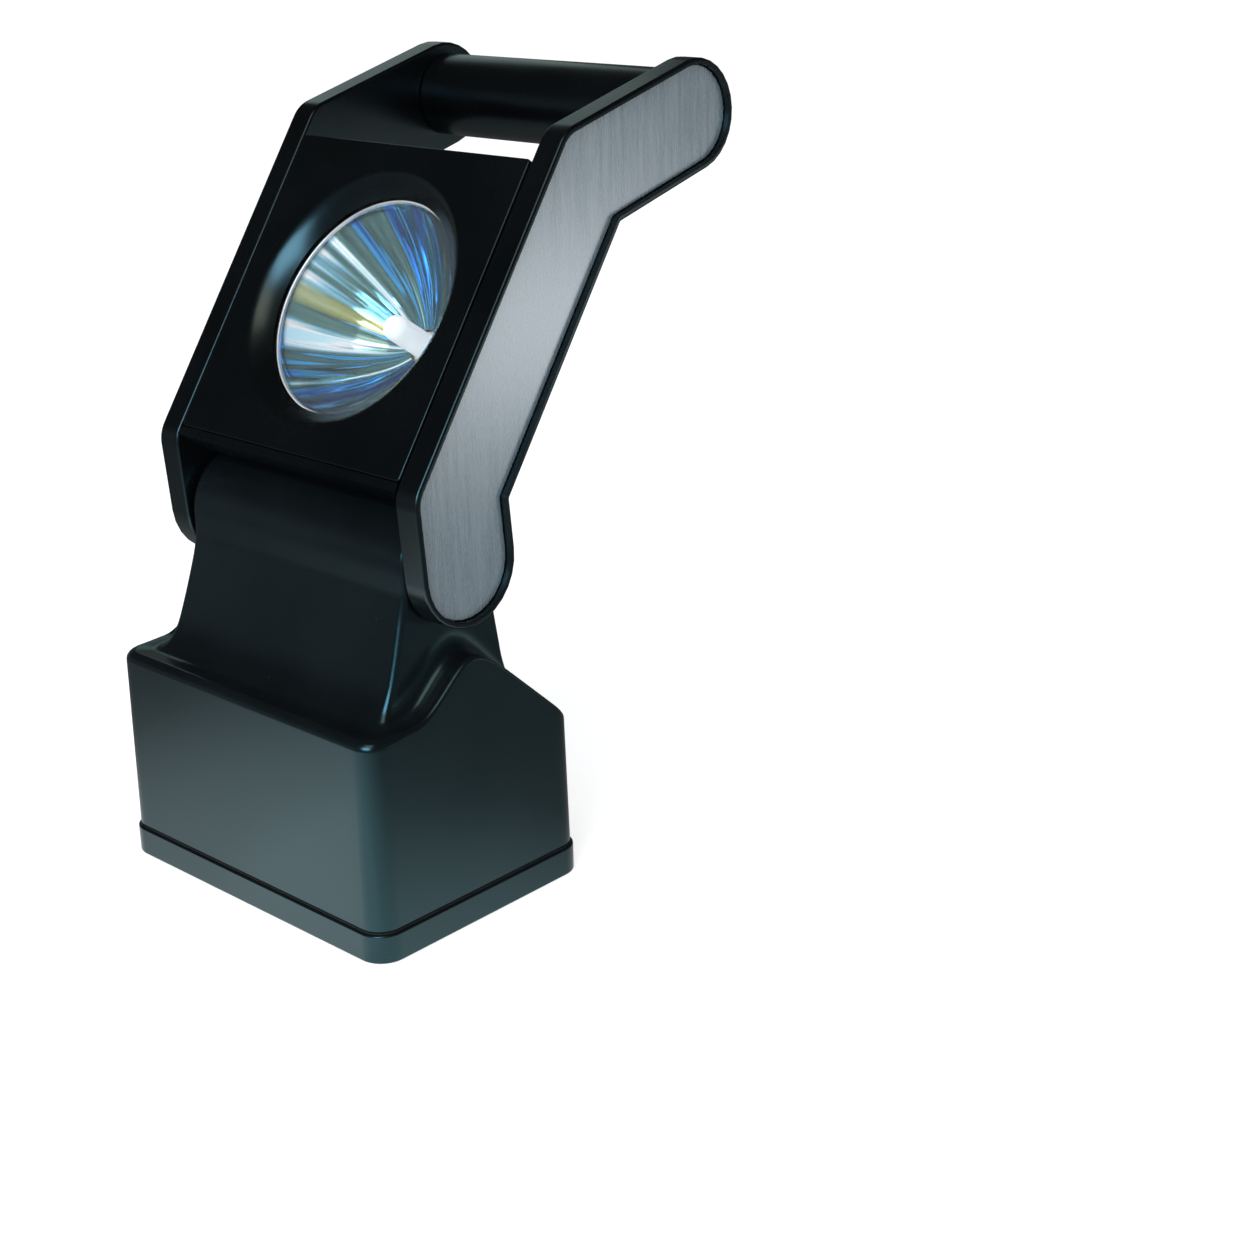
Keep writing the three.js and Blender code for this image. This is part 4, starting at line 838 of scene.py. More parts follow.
@dataclass(frozen=True)
class MirrorWithPaintedReflections(Finish):
    """The reflector: bright metal with painted reflections, as blue, white and yellow-green rays,
    and a painted highlight at its rim.
    """

    centre: Vector
    lean: float
    broad: float = 2.1
    fine: float = 8.0
    run: float = 2.5
    # Painted reflections: colours of the rays, from dark blue through white to pale blue.
    stops: Stops = (
        (0.36, (0.004, 0.045, 0.24)),
        (0.415, (0.02, 0.17, 0.48)),
        (0.44, (0.06, 0.40, 0.75)),
        (0.455, (0.04, 0.10, 0.11)),
        (0.515, (0.11, 0.23, 0.22)),
        (0.55, (0.22, 0.52, 0.68)),
        (0.58, (1.0, 1.0, 1.0)),
        (0.605, (0.62, 0.92, 1.0)),
    )
    # Painted reflection: a yellow-green wedge on one side of the bowl, and where it fades in.
    straw_reflection: Colour = (0.42, 0.44, 0.15)
    straw_reflection_edges: Point2 = (0.993, 0.9985)
    # Painted highlight: radii, in metres, where the colour turns white at the rim.
    rim: Point2 = (0.0391, 0.0393)

    def dress(self, g: Graph) -> None:
        """Fills the graph of the finish.

        Args:
            g: the material's graph.
        """
        source = g.add("TexCoord", "Object", {})
        shift = g.add("VectorMath", "Vector", {0: source, 1: self.centre}, operation="SUBTRACT")
        inputs = {"Vector": shift, "Angle": self.lean}
        upright = g.add("VectorRotate", "Vector", inputs, rotation_type="X_AXIS")
        x = g.add("SeparateXYZ", "X", {"Vector": upright})
        z = x.node.outputs["Z"]
        squares = g.math("ADD", g.math("POWER", x, 2.0), g.math("POWER", z, 2.0))
        radius = g.math("SQRT", squares)
        east, north = g.math("DIVIDE", x, radius), g.math("DIVIDE", z, radius)
        run = g.math("MULTIPLY", radius, self.run)
        fan = g.add("CombineXYZ", "Vector", {"X": east, "Y": north, "Z": run})
        # Painted reflections, as rays that fan out from the beam's axis.
        rays = g.blend((g.noise(fan, self.broad, 1.0), 0.62), (g.noise(fan, self.fine), 0.38))
        reflection_wedge = g.blend((east, -0.998), (north, 0.06))
        share = g.spread(reflection_wedge, 0.0, 0.8, *self.straw_reflection_edges)
        colour = g.mix(share, g.ramp(rays, self.stops), self.straw_reflection)
        # Painted highlight: the colour turns white at the rim.
        rim = g.spread(radius, 0.0, 1.0, *self.rim)
        g.feed(
            Base_Color=g.mix(rim, colour, WHITE),
            Roughness=g.math("ADD", g.spread(rays, 0.05, 0.14), g.math("MULTIPLY", rim, 0.3)),
            Normal=g.bump(rays, 0.12),
            Metallic=1.0,
        )


@dataclass(frozen=True)
class FrostedBulb(Finish):
    """Frosted bulb with a faint painted glow, though it is not lit."""

    dark: Colour = (0.9, 0.93, 0.95)
    light: Colour = (1.0, 1.0, 0.98)
    painted_glow: Colour = (1.0, 0.98, 0.92)

    def dress(self, g: Graph) -> None:
        """Fills the graph of the finish.

        Args:
            g: the material's graph.
        """
        where = g.place()
        g.feed(
            Base_Color=g.tones(g.noise(where, 200.0), self.dark, self.light),
            Roughness=g.spread(g.noise(where, 700.0), 0.2, 0.35),
            # Painted glow: the bulb is not lit, yet gives off a faint light of its own.
            Emission_Color=(*self.painted_glow, 1.0),
            Emission_Strength=0.5,
        )


@dataclass
class Finishes:
    """Every finish of the lamp, made once."""

    lens_centre: Vector
    lean: float
    made: dict[str, bpy.types.Material] = field(default_factory=dict)

    def __post_init__(self) -> None:
        """Makes the materials, one for each slot of the record."""
        head = SatinBlack(
            "head_coating",
            dark=(0.0014, 0.0013, 0.0015),
            light=(0.0027, 0.0025, 0.0028),
            rough_low=0.23,
            rough_high=0.29,
            grain=3200.0,
            grain_depth=0.006,
            tint=(0.52, 0.90, 1.0),
        )
        steel = PlainMetal("plain_steel", (0.42, 0.42, 0.42), (0.60, 0.60, 0.59))
        brass = PlainMetal("plated_brass", (0.55, 0.40, 0.17), (0.78, 0.60, 0.30), 0.26)
        rubber = DullSurface("black_rubber", (0.006,) * 3, (0.014,) * 3, 0.75)
        sheath = DullSurface("lead_sheath", (0.05, 0.05, 0.055), (0.09, 0.09, 0.095), 0.6)
        ceramic = DullSurface("white_ceramic", (0.62, 0.60, 0.54), (0.74, 0.72, 0.66), 0.55)
        cell = DullSurface("cell_case", (0.035, 0.04, 0.048), (0.06, 0.07, 0.08), 0.5)
        recipes = {
            "casing_black": SatinBlack("casing_moulding"),
            "head_black": head,
            "trim_brushed": BrushedAluminium("brushed_trim"),
            "screw_steel": steel,
            "contact_brass": brass,
            "seal_rubber": rubber,
            "lead_grey": sheath,
            "lens_glass": ClearGlass("lens_glass"),
            "bulb_glass": FrostedBulb("frosted_bulb"),
            "reflector_mirror": MirrorWithPaintedReflections("mirror_painted_reflections", self.lens_centre, self.lean),
            "ceramic_white": ceramic,
            "board_green": CircuitBoard("circuit_board"),
            "cell_grey": cell,
        }
        self.made = {slot: recipe.build() for slot, recipe in recipes.items()}

    def dress(self, thing: Thing, slot: str) -> None:
        """Gives an object the finish of a slot of the record."""
        thing.data.materials.clear()
        thing.data.materials.append(self.made[slot])


@dataclass
class Workshop:
    """Places finished pieces on their bodies."""

    finishes: Finishes
    kept_angle: float = 32.0
    placed: list[str] = field(default_factory=list)

    def place(
        self, thing: Thing, body: Body, slot: str, nodes: Sequence[str], sharp: float = 35.0
    ) -> None:
        """Finishes a new piece and sets it on its body.

        Args:
            thing: the piece.
            body: the body that it moves with.
            slot: the record's slot of its finish.
            nodes: the frame's nodes that it stands for.
            sharp: edges that turn more than this many degrees stay sharp.
        """
        shade(thing, sharp)
        thing.modifiers.new("face_normals", "WEIGHTED_NORMAL").keep_sharp = True
        self.finishes.dress(thing, slot)
        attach(thing, body.value)
        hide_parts(*nodes)
        self.placed.append(thing.name)

    def keep(self, slots: dict[str, str]) -> None:
        """Dresses nodes of the frame that stay as they are.

        Args:
            slots: slot of each node.
        """
        for node, slot in slots.items():
            thing = frame["nodes"][node]
            self.finishes.dress(thing, slot)
            shade(thing, self.kept_angle)
            self.placed.append(node)


@dataclass(frozen=True)
class Screw:
    """A headed screw with a socket, its top at 0 and its shank below."""

    head: float
    head_height: float
    shank: float
    reach: float
    socket_width: float = 0.45
    socket_depth: float = 0.6

    def solid(self, axis: Axis) -> Solid:
        """Builds the screw along an axis.

        Args:
            axis: the axis.

        Returns:
            The solid.
        """
        under, tip = -self.head_height, -self.head_height - self.reach
        socket, floor = self.head * self.socket_width, under * self.socket_depth
        corners = [
            (0.0, tip, 0.0),
            (self.shank, tip, 0.3),
            (self.shank, under, 0.0),
            (self.head, under, 0.15),
            (self.head, 0.0, 0.35),
            (socket, 0.0, 0.15),
            (socket, floor, 0.0),
            (0.0, floor, 0.0),
        ]
        return lathe(corners, axis, 32, 3)


# Base


@dataclass
class BaseBand:
    """The proud band at the foot, its seal, screws and charging contacts.

    Holes and bosses are given by the radius of each step and the height where it ends.
    """

    half_width: float = 70.0
    half_depth: float = 49.0
    corner: float = 9.5
    height: float = 10.45
    edge: float = 0.7
    rim: float = 4.2
    floor: float = 4.0
    seal_low: float = 10.5
    seal_high: float = 11.05
    seal_inset: float = 1.05
    seal_width: float = 3.0
    screw: Screw = Screw(3.2, 2.2, 1.5, 17.2)
    screw_x: float = 58.45
    screw_y: float = 37.45
    screw_top: float = 0.6
    boss_foot: float = 2.0
    boss: Point2 = (5.4, 11.0)
    screw_hole: tuple[Point2, Point2] = ((3.5, 3.1), (1.8, 14.0))
    contact_hole: tuple[Point2, Point2] = ((4.3, 2.3), (1.9, 6.0))
    contact_x: float = 50.0
    contact_ys: tuple[float, float] = (-8.0, 10.0)

    def outline(self, inset: float) -> list[Point2]:
        """Outline of the band drawn in by a distance."""
        half_x, half_y = self.half_width - inset, self.half_depth - inset
        return rounded_rectangle(half_x, half_y, self.corner - inset, steps=10)

    def screw_places(self) -> list[Point2]:
        """Centres of the base screws."""
        return [(sx * self.screw_x, sy * self.screw_y) for sx, sy in QUADRANTS]

    def contact_places(self) -> list[Point2]:
        """Centres of the charging contacts."""
        return [(self.contact_x, y) for y in self.contact_ys]

    def build(self, shop: Workshop) -> None:
        """Builds the band and what is set in it.

        Args:
            shop: places the pieces.
        """
        rings = slab_rings(self.outline, Axis.Z, 0.0, self.height, self.edge, 4)
        rings.append(flat_ring(self.outline(self.rim), Axis.Z, self.height))
        rings.append(flat_ring(self.outline(self.rim), Axis.Z, self.floor))
        tray = Solid().loft(rings).to_object("base_band")
        combine(tray, upright_pegs(self.screw_places(), 32, self.boss_foot, self.boss), Join.ADD)
        holes = upright_pegs(self.screw_places(), 32, -2.0, *self.screw_hole)
        holes += upright_pegs(self.contact_places(), 32, -2.0, *self.contact_hole)
        combine(tray, holes, Join.CUT)
        shop.place(tray, Body.BASE, "casing_black", ["base_plate"], 40.0)
        self.build_seal(shop)
        self.build_small(shop)

    def build_seal(self, shop: Workshop) -> None:
        """Builds the seal between the band and the casing.

        Args:
            shop: places the piece.
        """
        outside = self.outline(self.seal_inset)
        inside = self.outline(self.seal_inset + self.seal_width)
        rings = [
            flat_ring(outside, Axis.Z, self.seal_low),
            flat_ring(outside, Axis.Z, self.seal_high),
            flat_ring(inside, Axis.Z, self.seal_high),
            flat_ring(inside, Axis.Z, self.seal_low),
        ]
        seal = Solid().loft(rings, closed=True).to_object("band_seal")
        shop.place(seal, Body.BASE, "seal_rubber", ["base_seal"])

    def build_small(self, shop: Workshop) -> None:
        """Builds the screws and contacts of the underside.

        Args:
            shop: places the pieces.
        """
        over = Matrix.Rotation(math.pi, 4, "X")
        for i, (x, y) in enumerate(self.screw_places(), 1):
            solid = self.screw.solid(Axis.Z).moved(over).shifted(x, y, self.screw_top)
            thing = solid.to_object(f"underside_screw_{i}")
            shop.place(thing, Body.BASE, "screw_steel", [f"base_screw_{i}"])
        corners = [
            (0.0, 0.4, 0.0),
            (4.0, 0.4, 0.3),
            (4.0, 2.0, 0.2),
            (1.6, 2.0, 0.0),
            (1.6, 11.2, 0.3),
            (0.0, 11.2, 0.0),
        ]
        for i, (x, y) in enumerate(self.contact_places(), 1):
            thing = lathe(corners, Axis.Z, 40, 3).shifted(x, y).to_object(f"contact_face_{i}")
            shop.place(thing, Body.BASE, "contact_brass", [f"charge_contact_{i}"])


@dataclass
class Casing:
    """The battery casing: box, shelf, sloping roof, shoulders and the neck up to its barrel."""

    band: BaseBand
    half_width: float = 68.95
    half_depth: float = 47.95
    foot: float = 11.1
    chamfer: float = 0.5
    corner: float = 8.45
    draft: float = 0.8
    wall: float = 3.0
    shelf: float = 79.0
    edge: float = 3.4
    side_edge: float = 1.8
    edge_change: float = 16.0
    edge_lead: float = 0.75
    shoulder_rise: float = 17.6
    shoulder_start: float = -27.0
    shoulder_top: float = 3.0
    shoulder_blend: float = 2.6
    dip: float = 2.4
    roof_drop: float = 21.3
    roof_slope: float = math.radians(42.2)
    pivot_y: float = 1.9
    pivot_z: float = 126.2
    barrel: float = 20.0
    neck_half: float = 55.9
    neck_corner: float = 2.6
    front_sweep: float = 13.9
    front_power: float = 1.25
    rear_sweep: float = 4.2
    rear_power: float = 1.5
    sweep_drop: float = 8.2
    side_sweep: float = 1.5
    side_power: float = 1.1
    side_drop: float = 14.2
    side_height: float = 22.0
    side_share: float = 1.2
    fillet: float = 8.0
    fillet_rise: float = 0.27
    bay_corner: float = 5.4
    bay_drop: float = 7.0
    post: Point2 = (5.4, 35.6)
    cheek: float = 8.0
    neck_wall: float = 4.0
    neck_floor: float = 9.0
    axle_bore: float = 8.3
    screw_bore: Point2 = (1.8, 22.0)

    def shoulder(self, y: float) -> float:
        """Height of the casing's top edge at a depth.

        Args:
            y: the depth.

        Returns:
            The height.
        """
        run = self.shoulder_top - self.shoulder_start
        front = self.shelf + self.shoulder_rise * ease((y - self.shoulder_start) / run)
        roof = self.shelf - self.roof_drop + (self.half_depth - y) * math.tan(self.roof_slope)
        soft = self.shoulder_blend
        return -soft * math.log(math.exp(-front / soft) + math.exp(-roof / soft))

    def outline(
        self, half_x: float, half_y: float, corner: float, centre_y: float = 0.0
    ) -> list[Point2]:
        """Outline of one level of the casing, with the same count of points at each."""
        centre = (0.0, centre_y)
        return rounded_rectangle(half_x, half_y, corner, centre, 8, between_x=24, between_y=40)

    def wall_ring(self, inset: float, drop: float | None) -> Ring:
        """Ring of the wall.

        Args:
            inset: how far it is drawn in.
            drop: how far it lies below the top edge, or None at the foot.

        Returns:
            The ring.
        """
        corner = self.corner - inset / 2
        points = self.outline(self.half_width - inset, self.half_depth - inset, corner)
        if drop is None:
            return flat_ring(points, Axis.Z, self.foot)
        return [Vector((x, y, self.shoulder(y) - drop)) for x, y in points]

    def edge_ring(self, drop: float, inset: float) -> Ring:
        """Ring of the rounding between the walls and the top faces, tighter along the shoulders.

        Args:
            drop: how far it lies below the top edge, as a share of the rounding.
            inset: how far it is drawn in, as a share of the rounding.

        Returns:
            The ring.
        """
        levels = [
            self.wall_ring(self.draft + edge * inset, edge * drop)
            for edge in (self.edge, self.side_edge)
        ]
        start = self.shoulder_start - self.edge_change * self.edge_lead
        return [
            wide.lerp(tight, ease((wide.y - start) / self.edge_change))
            for wide, tight in zip(*levels)
        ]

    def neck_ring(self, rise: float) -> Ring:
        """Ring of the neck.

        Args:
            rise: 0 at the neck's foot and 1 at the pivot's height.

        Returns:
            The ring.
        """

        def flare(z: float, top: float, height: float, reach: float, power: float) -> float:
            return reach * clamp((top - z) / height) ** power

        middle = self.shelf + (self.pivot_z - self.shelf) * rise
        top = self.pivot_z - self.sweep_drop
        forward = flare(middle, top, top - self.shelf, self.front_sweep, self.front_power)
        backward = flare(middle, top, top - self.shelf, self.rear_sweep, self.rear_power)
        half_depth = self.barrel + (forward + backward) / 2
        centre = self.pivot_y + (backward - forward) / 2
        side_top = self.pivot_z - self.side_drop
        ring = []
        for x, y in self.outline(self.neck_half, half_depth, self.neck_corner, centre):
            valley = self.shoulder(y) - self.dip * (1 - rise)
            z = valley + (self.pivot_z - valley) * rise
            spread = flare(z, side_top, self.side_height, self.side_sweep, self.side_power)
            share = min(1.0, abs(x) / self.neck_half * self.side_share)
            ring.append(Vector((x + math.copysign(spread, x) * share, y, z)))
        return ring

    def barrel_ring(self, angle: float) -> Ring:
        """Ring of the barrel's upper half, folded up from the pivot's level.

        Args:
            angle: how far the ring's front and back halves are folded up.

        Returns:
            The ring.
        """
        points = self.outline(self.neck_half, self.barrel, self.neck_corner)
        cos, sin = math.cos(angle), math.sin(angle)
        return [Vector((x, self.pivot_y + y * cos, self.pivot_z + abs(y) * sin)) for x, y in points]

    def outside(self) -> Solid:
        """The closed outer skin: foot, rounded top edge, fillet, neck and barrel."""
        foot = self.wall_ring(0.0, None)
        rings = [self.wall_ring(self.chamfer, None)]
        rings.append([p + Vector((0, 0, self.chamfer)) for p in foot])
        rings += [self.edge_ring(drop, inset) for drop, inset in quarter(1.0, 7)]
        valley, neck_start = self.neck_ring(0.0), self.neck_ring(self.fillet_rise)
        starts = []
        for outer, low in zip(rings[-1], valley):
            reach = min(1.0, self.fillet / max((outer - low).length, 1e-6))
            starts.append(low + (outer - low) * reach)
        bends, levels, folds = 12, 26, 16
        for share in (i / bends for i in range(bends + 1)):
            rings.append([
                start * (1 - share) ** 2 + low * 2 * share * (1 - share) + high * share**2
                for start, low, high in zip(starts, valley, neck_start)
            ])
        for i in range(1, levels + 1):
            rings.append(self.neck_ring(self.fillet_rise + (1 - self.fillet_rise) * i / levels))
        for i in range(1, folds + 1):
            rings.append(self.barrel_ring(math.pi / 2 * i / folds))
        return Solid().loft(rings, top=False)

    def hollow(self) -> Thing:
        """The battery bay, with the screw posts left standing, as a cutter."""
        half_x = self.half_width - self.draft - self.wall
        half_y = self.half_depth - self.draft - self.wall
        ceiling = self.shelf - self.bay_drop
        roof_wall = self.wall / math.cos(self.roof_slope) + self.edge
        slope = math.tan(self.roof_slope)
        eaves = self.shelf - self.roof_drop
        bend = self.half_depth - (ceiling + roof_wall - eaves) / slope
        past_y, past_x = 60.0, 80.0
        side = [
            (-past_y, 0.0),
            (past_y, 0.0),
            (past_y, eaves + (self.half_depth - past_y) * slope - roof_wall),
            (bend, ceiling),
            (-past_y, ceiling),
        ]
        plan = rounded_rectangle(half_x, half_y, self.bay_corner)
        bay = prism(plan, Axis.Z, 0.0, ceiling + 2.0).to_object("bay")
        limit = prism(side, Axis.X, -past_x, past_x).to_object("bay_limit")
        combine(bay, [limit], Join.OVERLAP)
        posts = upright_pegs(self.band.screw_places(), 32, self.foot - 1, self.post)
        return combine(bay, posts, Join.CUT)

    def neck_hollow(self) -> Thing:
        """The room inside the neck, as a cutter."""
        half_x = self.neck_half - self.cheek
        half_y = self.barrel - self.neck_wall
        floor = self.shelf - self.neck_floor
        plan = [(self.pivot_y - half_y, floor), (self.pivot_y + half_y, floor)]
        dome = arc((self.pivot_y, self.pivot_z), half_y, 0.0, math.pi, 24)
        return prism(plan + dome, Axis.X, -half_x, half_x).to_object("neck_room")

    def build(self, shop: Workshop) -> None:
        """Builds the casing.

        Args:
            shop: places the piece.
        """
        casing = self.outside().to_object("casing", 1e-3)
        bore = peg(Axis.X, 48, -70.0, (self.axle_bore, 70.0)).shifted(0, self.pivot_y, self.pivot_z)
        cutters = [self.hollow(), self.neck_hollow(), bore.to_object("bore")]
        cutters += upright_pegs(self.band.screw_places(), 16, 0.0, self.screw_bore)
        combine(casing, cutters, Join.CUT)
        shop.place(casing, Body.BASE, "casing_black", ["base_casing"], 40.0)


# Head


@dataclass
class Head:
    """Places that the pieces of the head share, in the head's own upright frame."""

    lean: float = math.radians(34.4)
    pivot_y: float = 1.9
    pivot_z: float = 126.2
    front: float = 34.5
    rear: float = 4.9
    half: float = 56.9
    plate_inner: float = 57.2
    plate_outer: float = 67.2
    plate_screws: tuple[Point2, Point2] = ((-12.0, 32.0), (-12.0, 118.0))
    panel_foot: float = 14.9
    top: float = 128.7
    lens_along: float = 71.8
    switch_drop: float = 11.5
    handle_along: float = 175.4
    handle_behind: float = 20.4

    def matrix(self) -> Matrix:
        """Transform from the head's frame to the lamp's, in millimetres."""
        upright = Matrix.Translation((0, self.pivot_y, self.pivot_z))
        return upright @ Matrix.Rotation(-self.lean, 4, "X")

    def stand(self, solid: Solid, name: str) -> Thing:
        """Leans a solid back with the head and makes it an object of that name."""
        return solid.moved(self.matrix()).to_object(name)

    def on_beam(self, solid: Solid, name: str) -> Thing:
        """Centres a turned solid on the beam and stands it in the head."""
        return self.stand(solid.shifted(0, 0, self.lens_along), name)

    def combine(self, thing: Thing, solids: Iterable[Solid], join: Join) -> None:
        """Combines a piece of the head with solids drawn in the head's frame."""
        combine(thing, [self.stand(solid, "tool") for solid in solids], join)

    def point(self, x: float, y: float, z: float) -> Vector:
        """A point of the head's frame in the lamp's, in metres."""
        return self.matrix() @ Vector((x, y, z)) * MM


@dataclass(frozen=True)
class Seat:
    """A round seat with a hole through its floor."""

    radius: float
    depth: float
    hole: float


@dataclass
class SidePlates:
    """The two side plates and the brushed trims let into them."""

    head: Head
    edge: float = 1.1
    lobe: float = 20.7
    front_kink: float = 12.1
    front_kink_along: float = 14.3
    rear_kink: float = 1.2
    rear_kink_along: float = 27.0
    arm: float = 19.1
    arm_rise: float = math.radians(50.0)
    rim: float = 2.1
    chamfer: float = 0.2
    recess: float = 2.4
    trim: float = 1.2
    trim_edge: float = 0.2
    gap: float = 0.35
    seat_gap: float = 0.3
    pivot_seat: Seat = Seat(11.3, 3.2, 10.3)
    handle_seat: Seat = Seat(7.8, 3.2, 4.3)
    screw_seat: Seat = Seat(4.5, 3.0, 2.3)

    def outline(self, inset: float) -> list[Point2]:
        """Outline of a plate in y and z.

        Args:
            inset: how far it is drawn in.

        Returns:
            The points.
        """
        head = self.head
        normal_y, normal_z = -math.sin(self.arm_rise), math.cos(self.arm_rise)

        def along(y: float, stand_off: float) -> float:
            return head.handle_along + (stand_off - (y - head.handle_behind) * normal_y) / normal_z

        kink_y = self.front_kink - head.front
        rear_y = head.rear + self.rear_kink
        circles = [
            (0.0, 0.0, self.lobe - inset),
            (rear_y, self.rear_kink_along, -(self.rear_kink + inset)),
            (rear_y, along(rear_y, -self.arm - self.rear_kink), -(self.rear_kink + inset)),
            (head.handle_behind, head.handle_along, self.arm - inset),
            (kink_y, along(kink_y, self.arm - self.front_kink), self.front_kink - inset),
            (kink_y, self.front_kink_along, self.front_kink - inset),
        ]
        return belt(circles, 14)

    def trim_outline(self, inset: float) -> list[Point2]:
        """Outline of a trim drawn in by a distance, with its gap to the plate's rim."""
        return self.outline(self.rim + self.gap + inset)

    def plate(self, side: Side) -> Thing:
        """Builds one side plate with its pocket and holes.

        Args:
            side: which side it is on.

        Returns:
            The plate.
        """
        head = self.head
        face = head.plate_outer
        floor = face - self.recess - self.trim - self.seat_gap
        rings = slab_rings(self.outline, Axis.X, head.plate_inner, face, self.edge, 5)
        rings.append(flat_ring(self.outline(self.rim - self.chamfer), Axis.X, face))
        for place in (face - self.chamfer, floor):
            rings.append(flat_ring(self.outline(self.rim), Axis.X, place))
        plate = self.on_side(Solid().loft(rings), side, f"plate_{side.word}")
        seats = [(self.pivot_seat, (0.0, 0.0))]
        seats.append((self.handle_seat, (head.handle_behind, head.handle_along)))
        seats += [(self.screw_seat, place) for place in head.plate_screws]
        cutters = []
        for seat, (y, z) in seats:
            steps = (seat.radius, floor - seat.depth), (seat.hole, head.plate_inner - 2)
            for radius, start in steps:
                hole = peg(Axis.X, 48, start, (radius, floor + 2)).shifted(0, y, z)
                cutters.append(self.on_side(hole, side, "plate_hole"))
        return combine(plate, cutters, Join.CUT)

    def on_side(self, solid: Solid, side: Side, name: str) -> Thing:
        """Stands a solid, drawn on the right, on its side of the head.

        Args:
            solid: the solid.
            side: its side.
            name: the object's name.

        Returns:
            The object.
        """
        if side is Side.LEFT:
            solid.moved(Matrix.Scale(-1, 4, (1, 0, 0)))
        return self.head.stand(solid, name)

    def build(self, shop: Workshop) -> None:
        """Builds both plates and both trims.

        Args:
            shop: places the pieces.
        """
        face = self.head.plate_outer - self.recess
        for side in Side:
            plate = self.plate(side)
            shop.place(plate, Body.HEAD, "head_black", [f"side_plate_{side.word}"], 40.0)
            outline, edge = self.trim_outline, self.trim_edge
            rings = slab_rings(outline, Axis.X, face - self.trim, face, edge, 2)
            trim = self.on_side(Solid().loft(rings), side, f"trim_{side.word}")
            shop.place(trim, Body.HEAD, "trim_brushed", [f"side_trim_{side.word}"], 50.0)


@dataclass
class Handle:
    """The tube that the lamp is carried by."""

    head: Head
    radius: float = 15.0
    wall: float = 2.2

    def build(self, shop: Workshop) -> None:
        """Builds the tube.

        Args:
            shop: places the piece.
        """
        end, inner = self.head.half, self.radius - self.wall
        corners = [
            (inner, 0.0, 0.0),
            (inner, end, 0.3),
            (self.radius, end, 0.9),
            (self.radius, -end, 0.9),
            (inner, -end, 0.3),
            (inner, -1.0, 0.0),
        ]
        tube = lathe(corners, Axis.X, 96, 4)
        tube.shifted(0, self.head.handle_behind, self.head.handle_along)
        shop.place(self.head.stand(tube, "handle_grip"), Body.HEAD, "head_black", ["handle_tube"])


